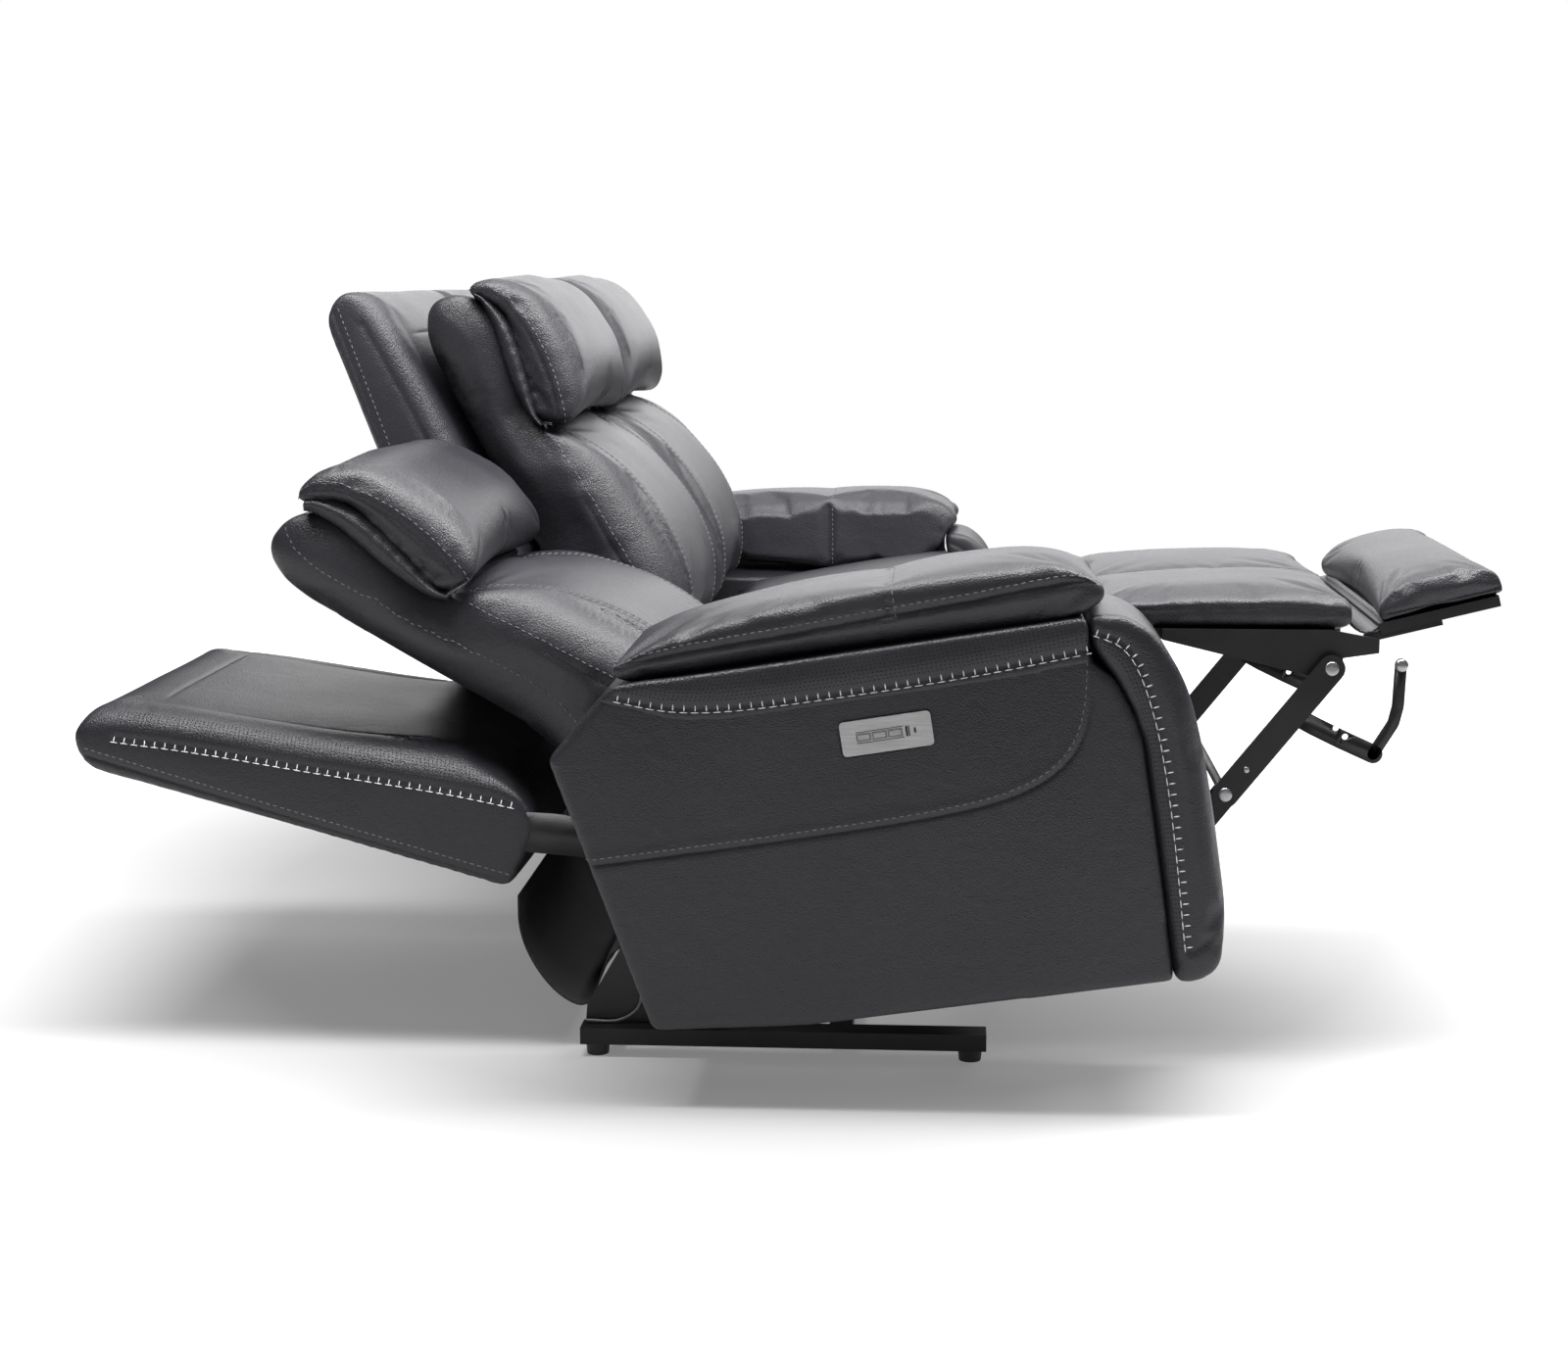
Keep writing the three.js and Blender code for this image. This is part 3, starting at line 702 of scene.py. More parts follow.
def stand(part, body, mesh, node=None, seats=ALL, finish=None):
    if finish:
        mesh.materials.clear()
        mesh.materials.append(finish)
    softly_shaded(mesh)
    for seat in seats:
        copy = mesh.copy()
        host = "base" if seat == "middle" else f"{seat}_{body}"
        if seat == "left":
            copy.transform(MIRROR)
            copy.flip_normals()
        else:
            copy.transform(STORED[body] if seat == "right" else MIDDLE_SHIFT)
        made = add_object(f"{seat}_{part}", copy)
        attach(made, host)
        if node:
            stood_for = "front_panel" if seat == "middle" and node == "chaise_pad" else node
            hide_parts(f"{seat}_{stood_for}")
        COUNT.append(len(copy.polygons))
    bpy.data.meshes.remove(mesh)


# %% [markdown]
# The arm is the nearest and largest thing in view. Its core panel is leather pulled tight over board, with
# one stitched seam that runs level and then turns up to the pad. Over it lies a perforated band with box
# stitching, then a fat pad, and a roll closes the front.


# %% Arm panel
VOXEL = 6.0
DROP_UNDER = SEAT_TOP - 62
ROLL_REAR = [(208, PAD_UNDER - 34), (231, BAND_UNDER - 18), (254, BAND_UNDER - 80, 30), (254, 240), (251, 60)]


def arm_panel():
    side = loop_of([*reversed(ROLL_REAR[1:]), (206, BAND_UNDER + 6), (206, PAD_UNDER - 1),
                    (-366, PAD_UNDER - 1), (-456, BAND_UNDER - 17, 6), (-385, 86, 6), (-196, 66, 30)])
    mesh = block("arm_panel", side, 1, ARM_V1 - 1)
    mesh = smoothed(skinned(mesh, VOXEL * 0.8), 3)
    co = spots(mesh)
    above = np.clip((co[:, 2] / MM - DROP_UNDER) / 20, 0, 1)
    co[:, 1] = np.minimum(co[:, 1], OUTER_Y + (ARM_V1 - 1 - above * 40) * MM)
    low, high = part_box("left_switch_plate")
    rim = 4 * MM
    pocket = (co[:, 0] > low.x + rim) & (co[:, 0] < high.x - rim) & (co[:, 2] > low.z + rim)
    pocket &= (co[:, 2] < high.z - rim) & (co[:, 1] < OUTER_Y + 20 * MM)
    co[pocket, 1] += 16 * MM
    set_spots(mesh, co)
    level, rise = 302, 208
    seam = eased(line((-431, level, 0), (-190, level - 3, 0), (30, level, 0), (122, level + 17, 0),
                      (174, level + 51, 0), (198, level + 101, 0), (rise, BAND_UNDER + 4, 0)))
    mesh = pressed(mesh, [seam], 3.2, 2.0)
    mesh = pressed(mesh, [shifted(seam, 7)], 6, -0.8)
    return mesh, seam


panel, panel_seam = arm_panel()
stand("arm_panel_stitches", "carriage", single_stitches("s", panel, [shifted(panel_seam, 7)]), seats=BOTH)
stand("arm_panel_cover", "carriage", panel, "arm_panel", seats=BOTH, finish=LEATHER)
print("arm panel made")


# %% Arm band: perforated, box stitched, standing a little proud of the panel
def arm_band():
    low = BAND_UNDER
    side = loop_of([(205, low + 4), (207, PAD_UNDER - 1), (-364, PAD_UNDER - 1), (-385, low + 42, 8),
                    (-345, low + 30, 20), (-300, low + 8, 30), (-230, low - 1, 40), (60, low - 2, 60)])
    mesh = smoothed(skinned(block("arm_band", side, -1.5, 13), 4.0), 5)
    row = eased(line((-358, low + 46, -2), (-305, low + 26, -2), (-235, low + 15, -2), (-120, low + 13, -2),
                     (60, low + 14, -2), (204, low + 22, -2)))
    mesh = pressed(mesh, [row], 5, 1.1)
    mesh = pressed(mesh, [shifted(row, 22)], 15, -3.0)
    return mesh, row


band, band_row = arm_band()
stand("arm_band_stitches", "carriage", ladder("s", band, [band_row]), seats=BOTH)
band_holes = [shifted(band_row, 10 + 4.6 * n) for n in range(7)]
stand("arm_band_holes", "carriage", perforations("h", band, band_holes), seats=BOTH)
stand("arm_band_cover", "carriage", band, "arm_band", seats=BOTH, finish=LEATHER)


# %% Arm pad: foam under leather, with a stitched side seam and one seam across
ARM_SEAM = -22


def arm_pad():
    top, low = PAD_TOP - 10, PAD_UNDER
    side = loop_of([(-362, low + 2, 12), (204, low + 1, 10), (236, low + 14, 24), (238, top - 40, 30),
                    (196, top - 6, 60), (40, top, 200), (-150, top - 8, 200), (-300, top - 24, 80),
                    (-366, top - 50, 36)])
    drop = loop_of([(-356, DROP_UNDER + 30, 20), (150, DROP_UNDER + 24, 30), (212, low - 20, 30),
                    (226, low + 20, 20), (226, top - 44, 30), (180, top - 14, 40),
                    (-300, top - 40, 60), (-362, top - 60, 30)])
    whole = bmesh.new()
    for part in (block("a", side, 2, ARM_V1 - 2), block("b", drop, ARM_V1 - 44, ARM_V1 - 2)):
        whole.from_mesh(part)
    both = bpy.data.meshes.new("arm_pad")
    whole.to_mesh(both)
    whole.free()
    mesh = smoothed(skinned(both, VOXEL), 9)
    seams = [eased(line((-366, low + 22, 0), (-269, low + 28, 0), (-150, low + 30, 0), (-31, low + 35, 0),
                        (85, low + 38, 0), (197, low + 44, 0), (240, low + 34, 0)))]
    across = eased(line(*[(ARM_SEAM, z, v) for z, v in (
        (low + 34, 0), (top - 18, 4), (top + 4, 40), (top + 8, ARM_V1 / 2), (top + 4, ARM_V1 - 40),
        (top - 18, ARM_V1 - 4), (low + 34, ARM_V1), (DROP_UNDER + 30, ARM_V1))]))
    gather = eased(line((222, low + 20, ARM_V1 - 44), (224, top - 60, ARM_V1 - 20), (222, low, ARM_V1 - 10)))
    mesh = swollen(mesh, seams + [across], 5.0, 13)
    mesh = boxed(mesh, -2, ARM_V1 + 2.5)
    mesh = crumpled(mesh, [gather], 34, 1.6, 77, wave=22)
    mesh = pressed(mesh, seams, 5.0, 3.6)
    mesh = pressed(mesh, [across], 4.0, 2.6)
    mesh = crumpled(mesh, seams, 26, 0.6, 4)
    return mesh, seams, across


pad, pad_seams, pad_across = arm_pad()
pad_rows = [shifted(pad_seams[0], 8)]
pad_rows += [pad_across + np.array([8 * MM, 0, 0])]
stand("arm_pad_stitches", "carriage", single_stitches("s", pad, pad_rows), seats=BOTH)
stand("arm_pad_cover", "carriage", pad, "arm_pad", seats=BOTH, finish=LEATHER)
print("arm pad made")


# %% Front roll of the arm
def arm_roll():
    rear = [(x + 1, z, *r) for x, z, *r in ROLL_REAR]
    side = loop_of([*reversed(rear), (210, PAD_UNDER - 1), (250, PAD_UNDER - 4, 20),
                    (286, PAD_UNDER - 32, 30), (314, BAND_UNDER - 30, 60), (322, 290, 80),
                    (320, 130, 40), (308, 62, 30), (266, 52, 16)])
    mesh = smoothed(skinned(block("arm_roll", side, 1, ARM_V1 - 1), VOXEL * 0.8), 7)
    row = [(217, PAD_UNDER - 22), (244, PAD_UNDER - 34), (264, BAND_UNDER - 2), (277, BAND_UNDER - 70),
           (281, 302), (279, 206), (274, 100)]
    rows = ends(0, ARM_V1, row)
    mesh = swollen(mesh, rows, 4.0, 6, frames=10)
    mesh = pressed(mesh, rows, 5, 1.4)
    return mesh, rows


roll, roll_rows = arm_roll()
stand("arm_roll_stitches", "carriage", ladder("s", roll, roll_rows[:1]), seats=BOTH)
roll_holes = [shifted(roll_rows[0], -(9 + 4.6 * n)) for n in range(3)]
stand("arm_roll_holes", "carriage", perforations("h", roll, roll_holes), seats=BOTH)
stand("arm_roll_cover", "carriage", roll, "arm_roll", seats=BOTH, finish=LEATHER)
print("arm roll made")

# %% [markdown]
# The seat cushion is a wide box of foam with a rounded nose. Its side seams hold the cover down, so that the
# top crowns between them. The back cushion is fuller: a lumbar swell, a gusset at each side, and a head
# pillow on its own hinge above it.


# %% Seat cushion
def seat_cushion():
    nose = 60
    nose_x, nose_z = 201, SEAT_TOP - 62
    around = [(nose_x + nose * math.cos(a), nose_z + nose * math.sin(a))
              for a in np.linspace(-0.9, math.pi / 2, 12)]
    side = loop_of([(212, 342, 10), *around, (40, SEAT_TOP - 24, 80), (-168, SEAT_TOP - 66, 40),
                    (-206, SEAT_TOP - 84, 20), (-204, 342, 10)])
    mesh = smoothed(skinned(block("seat", side, SEAT_V0 + 3, SEAT_V1 - 3), VOXEL), 8)
    edges = []
    for v in (SEAT_V0 + 6, SEAT_V1 - 6):
        edges.append(eased(line((-200, SEAT_TOP - 66, v), (-100, SEAT_TOP - 50, v), (60, SEAT_TOP - 22, v),
                                (170, SEAT_TOP - 4, v), (222, SEAT_TOP - 10, v), (258, SEAT_TOP - 50, v),
                                (258, SEAT_TOP - 90, v))))
    mesh = swollen(mesh, edges, 4.0, 16)
    mesh = pressed(mesh, edges, 5, 3.0)
    return boxed(mesh, SEAT_V0, SEAT_V1), edges


seat, seat_edges = seat_cushion()
inward = np.array([0, 9 * MM, 0])
seat_rows = [seat_edges[0] + inward, seat_edges[1] - inward]
stand("seat_stitches", "carriage", single_stitches("s", seat, seat_rows))
stand("seat_cover", "carriage", seat, "seat_cushion", finish=LEATHER)
print("seat made")

# %% [markdown]
# A cover that rolls over an edge is flat at its side seam and rounds inward beyond it. Each sewn outline has
# such a rail: past it, the skin is drawn in from both ends along a quarter ellipse.


# %% Round a cover over its side seam
def rounded_over(mesh, rail, depth, width, v0, v1):
    """Past the rail, on its left, the skin draws in by up to the width over that depth, in mm."""
    path = evenly(at(0, rail), 0.003)
    left = left_of(path)[:, [0, 2]]
    tree = tree_of([(p[0], 0, p[2]) for p in path])
    co = spots(mesh)
    near = np.array([tree.find((c[0], 0, c[2]))[1] for c in co])
    past = ((co[:, [0, 2]] - path[near][:, [0, 2]]) * left[near]).sum(1) / (depth * MM)
    draw = width * MM * (1 - np.sqrt(1 - np.clip(past, 0, 1) ** 2))
    middle = OUTER_Y + (v0 + v1) / 2 * MM
    half = (v1 - v0) / 2 * MM
    co[:, 1] = middle + (co[:, 1] - middle) * (half - draw) / half
    set_spots(mesh, co)
    return mesh


# %% [markdown]
# Behind each seat stands a shell: a padded board with a flat back, a stitched edge low on its side and box
# stitching where the side meets the crowned front. Its steel hinge arms reach down to the carriage.


# %% Back shell
SHELL_RAIL = [(-706, 984), (-668, 938), (-610, 835), (-553, 722), (-500, 622), (-456, 538), (-424, 468)]
SHELL_EDGE = [(-712, 956), (-664, 822), (-616, 690), (-568, 560), (-514, 414)]


def back_shell():
    side = loop_of([(-726, SHELL_TOP - 42, 26), (-704, SHELL_TOP - 2, 22), (-650, SHELL_TOP - 3, 26),
                    (-596, 892), (-490, 692, 60), (-424, 592, 30), (-408, 470, 22), (-427, 422, 22),
                    (-520, 402, 20)])
    mesh = smoothed(skinned(block("shell", side, SEAT_V0 + 2, SEAT_V1 - 2), VOXEL), 4)
    mesh = rounded_over(mesh, SHELL_RAIL, 46, 60, SEAT_V0, SEAT_V1)
    rails = ends(SEAT_V0, SEAT_V1, SHELL_RAIL[1:])
    edges = ends(SEAT_V0, SEAT_V1, SHELL_EDGE)
    front = [(-634, 985), (-592, 895), (-540, 790), (-486, 690), (-440, 610)]
    inner = ends(SEAT_V0 + 64, SEAT_V1 - 64, front)
    across = line(*[(-606, 925, v) for v in np.linspace(SEAT_V0 + 64, SEAT_V1 - 64, 30)])
    mesh = swollen(mesh, rails + edges + inner, 3.0, 7, frames=10)
    mesh = boxed(mesh, SEAT_V0 + 0.5, SEAT_V1 - 0.5)
    mesh = pressed(mesh, rails, 6, 2.4)
    mesh = pressed(mesh, edges, 4, 2.4)
    mesh = pressed(mesh, inner + [across], 3.6, 2.0)
    return mesh, rails, edges


shell, shell_rails, shell_edges = back_shell()
shell_rows = [shifted(p, -2) for p in shell_rails]
stand("shell_ladder", "back", ladder("s", shell, shell_rows, rung=9.5), seats=BOTH)
stand("shell_edge_stitches", "back", single_stitches("s", shell, [shifted(p, 9) for p in shell_edges]))
shell_holes = [shifted(shell_rails[0], 12 + 4.8 * n) + np.array([0, 2.4 * n * MM, 0]) for n in range(7)]
stand("shell_holes", "back", perforations("h", shell, shell_holes), seats=BOTH)
stand("shell_cover", "back", shell, "back_shell", finish=LEATHER)


def hinge_arms():
    outline = loop_of([(-440, 470, 12), (-470, 420, 12), (-362, 246, 10), (-338, 240, 10), (-330, 262, 10),
                       (-400, 410, 12)], step=3)
    return welded_flat("arms", [block("a", outline, v, v + 4) for v in (SEAT_V0 + 4, SEAT_V1 - 8)])


def welded_flat(name, meshes):
    for mesh in meshes:
        mesh.materials.append(STEEL)
    return welded(name, meshes)


stand("hinge_arms", "back", hinge_arms(), seats=BOTH)


def rear_apron():
    """The fixed seat has no flap: a cloth-covered board closes the space between its seat and its back."""
    board = loop_of([(-386, 250, 4), (-374, 250, 4), (-374, 446), (-386, 446)])
    return smoothed(skinned(block("apron", board, SEAT_V0 + 2, SEAT_V1 - 2), 5.0), 2)


stand("rear_apron", "carriage", rear_apron(), seats=("middle",), finish=CLOTH)
print("back shell made")

# %% [markdown]
# The back cushion has three parts in one cover: a rear rim, a wide side gusset crossed by one seam, and the
# lumbar swell, which stands proud of the gusset with a stitched band down each side.


# %% Back cushion
RIM = [(-350, 462), (-352, 540), (-368, 610), (-412, 692), (-459, 772), (-508, 852), (-546, 922), (-548, 985)]
LUMBAR = [(-392, 766), (-352, 704), (-300, 612), (-262, 550), (-246, 500), (-244, 446)]
LUMBAR_FRONT = [(-392, 782), (-368, 780), (-292, 737), (-213, 642), (-172, 540), (-184, 446)]


def back_cushion():
    top = CUSHION_TOP
    side = loop_of([(-580, 924, 26), (-576, top - 22, 30), (-520, top - 4, 30), (-466, 952, 30), (-430, 812),
                    (-404, 781, 10), (-373, 778, 20), (-296, 733, 60), (-218, 640, 60), (-178, 540, 60),
                    (-191, 442, 24), (-386, 448, 20), (-396, 590, 40), (-488, 752, 60)])
    mesh = smoothed(skinned(block("cushion", side, SEAT_V0 + 4, SEAT_V1 - 4), VOXEL), 6)
    mesh = domed(mesh, side, SEAT_V0, SEAT_V1, 95, 22)
    mesh = rounded_over(mesh, RIM, 44, 26, SEAT_V0, SEAT_V1)
    mesh = rounded_over(mesh, LUMBAR, 64, 58, SEAT_V0, SEAT_V1)
    rims = ends(SEAT_V0, SEAT_V1, RIM)
    sides = ends(SEAT_V0, SEAT_V1, LUMBAR)
    bands = ends(SEAT_V0 + 92, SEAT_V1 - 92, LUMBAR_FRONT)
    cross = ends(SEAT_V0, SEAT_V1, [(-470, 790), (-440, 806), (-408, 790)])
    tail = ends(SEAT_V0, SEAT_V1, [(-588, 880), (-560, 886), (-530, 890)])
    mesh = swollen(mesh, rims + sides + bands + cross, 5.5, 17)
    mesh = boxed(mesh, SEAT_V0 + 0.5, SEAT_V1 - 0.5)
    mesh = pressed(mesh, rims, 5, 3.4)
    mesh = pressed(mesh, sides, 5, 4.2)
    mesh = pressed(mesh, [shifted(p, 13) for p in sides], 4, 1.6)
    mesh = pressed(mesh, bands, 4.5, 2.6)
    mesh = pressed(mesh, cross + tail, 3.4, 2.4)
    mesh = crumpled(mesh, sides + cross, 30, 0.9, 12)
    return mesh, rims, sides, bands


cushion, rims, lumbar_sides, bands = back_cushion()
rim_rows = [shifted(p, -8) for p in rims]
stand("cushion_rim_stitches", "backrest", single_stitches("s", cushion, rim_rows), seats=BOTH)
sewn = [shifted(p, 13) for p in lumbar_sides]
sewn += [p + np.array([0, s * 7 * MM, 0]) for p in bands for s in (-1, 1)]
stand("cushion_stitches", "backrest", single_stitches("s", cushion, sewn))
stand("cushion_cover", "backrest", cushion, "back_cushion", finish=LEATHER)
print("back cushion made")


# %% Head pillow, on its own hinge, with a folded leather gusset under it
PILLOW_RAIL = [(-520, 986), (-490, 994), (-452, 972), (-412, 914), (-386, 850), (-376, 808), (-373, 784)]


def head_pillow():
    top = SEAT_HEAD
    side = loop_of([(-522, top - 26, 22), (-474, top - 4, 30), (-403, 984, 50), (-345, 898, 60),
                    (-338, 818, 34), (-358, 789, 22), (-398, 790, 16), (-420, 812, 20), (-455, 954, 20)])
    mesh = smoothed(skinned(block("pillow", side, SEAT_V0 + 6, SEAT_V1 - 6), VOXEL), 6)
    mesh = rounded_over(mesh, PILLOW_RAIL, 44, 46, SEAT_V0 + 2, SEAT_V1 - 2)
    mesh = rounded_over(mesh, PILLOW_RAIL[::-1], 56, 20, SEAT_V0 + 2, SEAT_V1 - 2)
    seams = ends(SEAT_V0 + 2, SEAT_V1 - 2, PILLOW_RAIL)
    mesh = swollen(mesh, seams, 6.0, 15)
    mesh = boxed(mesh, SEAT_V0 + 1, SEAT_V1 - 1)
    mesh = pressed(mesh, seams, 5, 3.8)
    mesh = pressed(mesh, [shifted(p, 13) for p in seams], 4, 1.6)
    back = ends(SEAT_V0 + 14, SEAT_V1 - 14, [(-500, 970), (-462, 930), (-434, 870), (-414, 815)])
    mesh = crumpled(refined(mesh, back, 22), back, 20, 1.5, 31, wave=17)
    mesh = crumpled(mesh, seams, 26, 0.7, 32, wave=34)
    return mesh, seams


SEAT_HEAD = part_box("left_headrest_pillow")[1].z / MM
pillow, pillow_seams = head_pillow()
stand("pillow_stitches", "headrest", single_stitches("s", pillow, [shifted(p, 13) for p in pillow_seams]))
stand("pillow_cover", "headrest", pillow, "headrest_pillow", finish=LEATHER)

NECK = [(-500, 984), (-484, 974), (-458, 934), (-436, 862), (-418, 806), (-402, 788)]


def neck_gusset(seat):
    """A gathered strip between cushion and pillow. One side stays with the cushion, the other moves."""
    path = evenly(at(0, NECK), 0.004)
    out = left_of(path)
    taper = np.sin(np.linspace(0.25, math.pi - 0.25, len(path)))[:, None]
    gathers = np.sin(np.arange(len(path)) * 0.6) + 0.8 * np.sin(np.arange(len(path)) * 1.3 + 1)
    folds = 7
    points, weights = [], []
    for side in (0, 1):
        for k in range(folds):
            share = k / (folds - 1)
            tuck = 13 + 5 * math.cos(share * 2 * math.pi)
            v = SEAT_V0 + tuck if side == 0 else SEAT_V1 - tuck
            row = path + out * taper * (share * 26 - 13) * MM
            row[:, 1] = OUTER_Y + v * MM + gathers * 0.0004
            points.append(row)
            weights.append(np.full(len(path), share))
    n = len(path)
    rows = 2 * folds
    order = [*range(folds), *range(2 * folds - 1, folds - 1, -1)]
    faces = []
    for a, b in zip(order, order[1:] + order[:1]):
        faces += [(a * n + i, b * n + i, b * n + i + 1, a * n + i + 1) for i in range(n - 1)]
    faces += [tuple(r * n for r in order), tuple(reversed([r * n + n - 1 for r in order]))]
    points, weights = np.concatenate(points), np.concatenate(weights)
    angle = NOD if seat == "right" else 0
    hinge = JOINTS["left_headrest_tilt"]["pos_m"]
    turned = np.deg2rad(angle) * weights
    dx, dz = points[:, 0] - hinge[0], points[:, 2] - hinge[2]
    points[:, 0] = hinge[0] + dx * np.cos(turned) - dz * np.sin(turned)
    points[:, 2] = hinge[2] + dx * np.sin(turned) + dz * np.cos(turned)
    mesh = softly_shaded(outward(mesh_from("neck", points, faces)))
    mesh.materials.append(LEATHER)
    start, end = place(-478, 900, 500), place(-442, 912, 500)
    if seat == "left":
        mesh.transform(MIRROR)
        mesh.flip_normals()
        start, end = MIRROR @ start, MIRROR @ end
    else:
        mesh.transform(rest_turn if seat == "right" else MIDDLE_SHIFT)
        start, end = rest_turn @ start, rest_turn @ end
    made = add_object(f"{seat}_neck_gusset", mesh)
    if seat == "middle":
        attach(made, "base")
    else:
        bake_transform(made)


for seat_name in ALL:
    neck_gusset(seat_name)
print("pillow made")

# %% [markdown]
# The footrest is a chaise pad that follows the seat's nose, and a small pad that flips out beyond it. A
# leather strip joins the two, drawn open on the right seat and closed on the left. It is made further on, with the
# cloth flap.


# %% Chaise pad
def chaise_pad(v0, v1, seats):
    side = loop_of([(267, 412, 8), (262, 396), (249, 376, 20), (249, 83, 8), (262, 78, 8), (290, 84, 20),
                    (297, 140, 80), (293, 300, 60), (282, 404, 14)])
    mesh = smoothed(skinned(block("chaise", side, v0 + 3, v1 - 3), VOXEL * 0.8), 4)
    rail = [(268, 408), (272, 330), (275, 250), (276, 150), (270, 84)]
    mesh = rounded_over(mesh, rail, 24, 30, v0, v1)
    seams = ends(v0, v1, rail)
    middle = at((v0 + v1) / 2, [(285, 404), (295, 300), (298, 200), (298, 140), (291, 84)])
    mesh = swollen(mesh, seams + [middle], 3.0, 10)
    mesh = boxed(mesh, v0, v1)
    mesh = pressed(mesh, [middle], 4.5, 3.2)
    mesh = pressed(mesh, seams, 4, 2.2)
    mesh = crumpled(mesh, seams + [middle], 30, 0.6, 21)
    rows = [middle + np.array([0, s * 7 * MM, 0]) for s in (-1, 1)]
    stand("chaise_stitches", "ottoman", single_stitches("s", mesh, rows), seats=seats)
    stand("chaise_cover", "ottoman", mesh, "chaise_pad", seats=seats, finish=LEATHER)


chaise_pad(CHAISE_V0, CHAISE_V1, BOTH)
chaise_pad(SEAT_V0, SEAT_V1, ("middle",))


# %% Flip pad, drawn flat and then folded under the chaise
FOLD = turn("flip", -251)


def flip_pad():
    side = loop_of([(249, 80, 5), (409, 80, 6), (411, 100, 14), (398, 114, 24), (330, 124, 60),
                    (268, 116, 30), (249, 100, 14)])
    mesh = smoothed(skinned(block("flip", side, FLIP_V0 + 3, FLIP_V1 - 3), VOXEL * 0.8), 4)
    rail = [(412, 90), (330, 92), (247, 90)]
    mesh = rounded_over(mesh, rail, 36, 36, FLIP_V0, FLIP_V1)
    under = ends(FLIP_V0 + 2, FLIP_V1 - 2, [(249, 88), (330, 88), (411, 88)])
    mesh = swollen(mesh, under, 7.0, 14)
    mesh = boxed(mesh, FLIP_V0, FLIP_V1)
    mesh = pressed(mesh, under, 4, 2.5)
    mesh = crumpled(mesh, under, 46, 1.6, 8, wave=44)
    mesh.transform(FOLD)
    return mesh


stand("flip_cover", "flip", flip_pad(), "flip_pad", seats=BOTH, finish=LEATHER)
print("footrest made")


# %% Sheets drawn in a hinge's pose
def strip(name, route, v0, v1, thickness, waves=0.0, seed=1):
    """A sheet along a side route, as wide as v0 to v1, with soft waves across it."""
    path = evenly(eased(line(*[(x, z, 0) for x, z in route]), 3), 0.006)
    rng = np.random.default_rng(seed)
    out = left_of(path)
    share = np.linspace(0, 1, len(path))[:, None]
    across = np.linspace(v0, v1, 60)
    lift = sum(np.sin(across / 60 * k + rng.uniform(0, 6)) / k for k in (1, 2, 3))
    points, faces, n = [], [], len(path)
    for side in (-0.5, 0.5):
        for v, up in zip(across, lift):
            row = path + out * (side * thickness + waves * up * np.sin(share * math.pi)) * MM
            row[:, 1] = OUTER_Y + v * MM
            points.append(row)
    m = len(across)
    for layer, flip in ((0, True), (m, False)):
        for r in range(layer, layer + m - 1):
            for i in range(n - 1):
                face = (r * n + i, r * n + i + 1, (r + 1) * n + i + 1, (r + 1) * n + i)
                faces.append(face[::-1] if flip else face)
    for r in range(m - 1):
        for i, turned in ((0, False), (n - 1, True)):
            face = (r * n + i, (r + 1) * n + i, (r + m + 1) * n + i, (r + m) * n + i)
            faces.append(face[::-1] if turned else face)
    for r, turned in ((0, True), (m - 1, False)):
        for i in range(n - 1):
            face = (r * n + i, r * n + i + 1, (r + m) * n + i + 1, (r + m) * n + i)
            faces.append(face if turned else face[::-1])
    return softly_shaded(outward(mesh_from(name, np.concatenate(points), faces))), path


def bent(name, seat, mesh, finish, start, end, matrix):
    mesh.materials.append(finish)
    start, end = matrix @ start, matrix @ end
    mesh.transform(matrix)
    if matrix.determinant() < 0:
        mesh.flip_normals()
    made = add_object(f"{seat}_{name}", mesh)
    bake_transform(made)
    return made


FLAP_OPEN = [(-378, 214), (-410, 168), (-438, 140), (-466, 129), (-483, 97), (-505, 60), (-540, 84),
             (-566, 130), (-577, 178), (-570, 224)]
FLAP_CLOSED = [(-378, 232), (-388, 170), (-430, 128), (-476, 150), (-498, 215), (-506, 290), (-506, 385)]
STRIP_OPEN = [(264, 86), (248, 76), (240, 60), (246, 44), (262, 36)]
STRIP_CLOSED = [(262, 82), (250, 66), (232, 60), (214, 62), (204, 70)]
HINGE_LINE_V = 500


def flap_and_strip(seat, flap, leather_strip, flap_matrix, strip_matrix):
    cloth, path = strip("flap", flap, FLIP_V0, FLIP_V1, 2.2, waves=1.2, seed=5)
    start, end = place(*flap[0], HINGE_LINE_V), place(*flap[-1], HINGE_LINE_V)
    made = bent("rear_flap_cloth", seat, cloth, CLOTH, start, end, flap_matrix)
    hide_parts(f"{seat}_rear_flap")
    hide, _ = strip("strip", leather_strip, FLIP_V0 + 20, FLIP_V1 - 20, 3, waves=0.8, seed=9)
    start, end = place(*leather_strip[0], HINGE_LINE_V), place(*leather_strip[-1], HINGE_LINE_V)
    made = bent("footrest_strip", seat, hide, LEATHER, start, end, strip_matrix)


flap_and_strip("right", FLAP_OPEN, STRIP_OPEN, carriage_turn, ottoman_turn)
flap_and_strip("left", FLAP_CLOSED, STRIP_CLOSED, MIRROR, MIRROR)

# %% [markdown]
# What the frame leaves bare: rivet heads at each pivot, the guide link with its two holes, the bent link and
# its roller, and the spring under the small pad. The control plate gets its printed rails and its sockets.


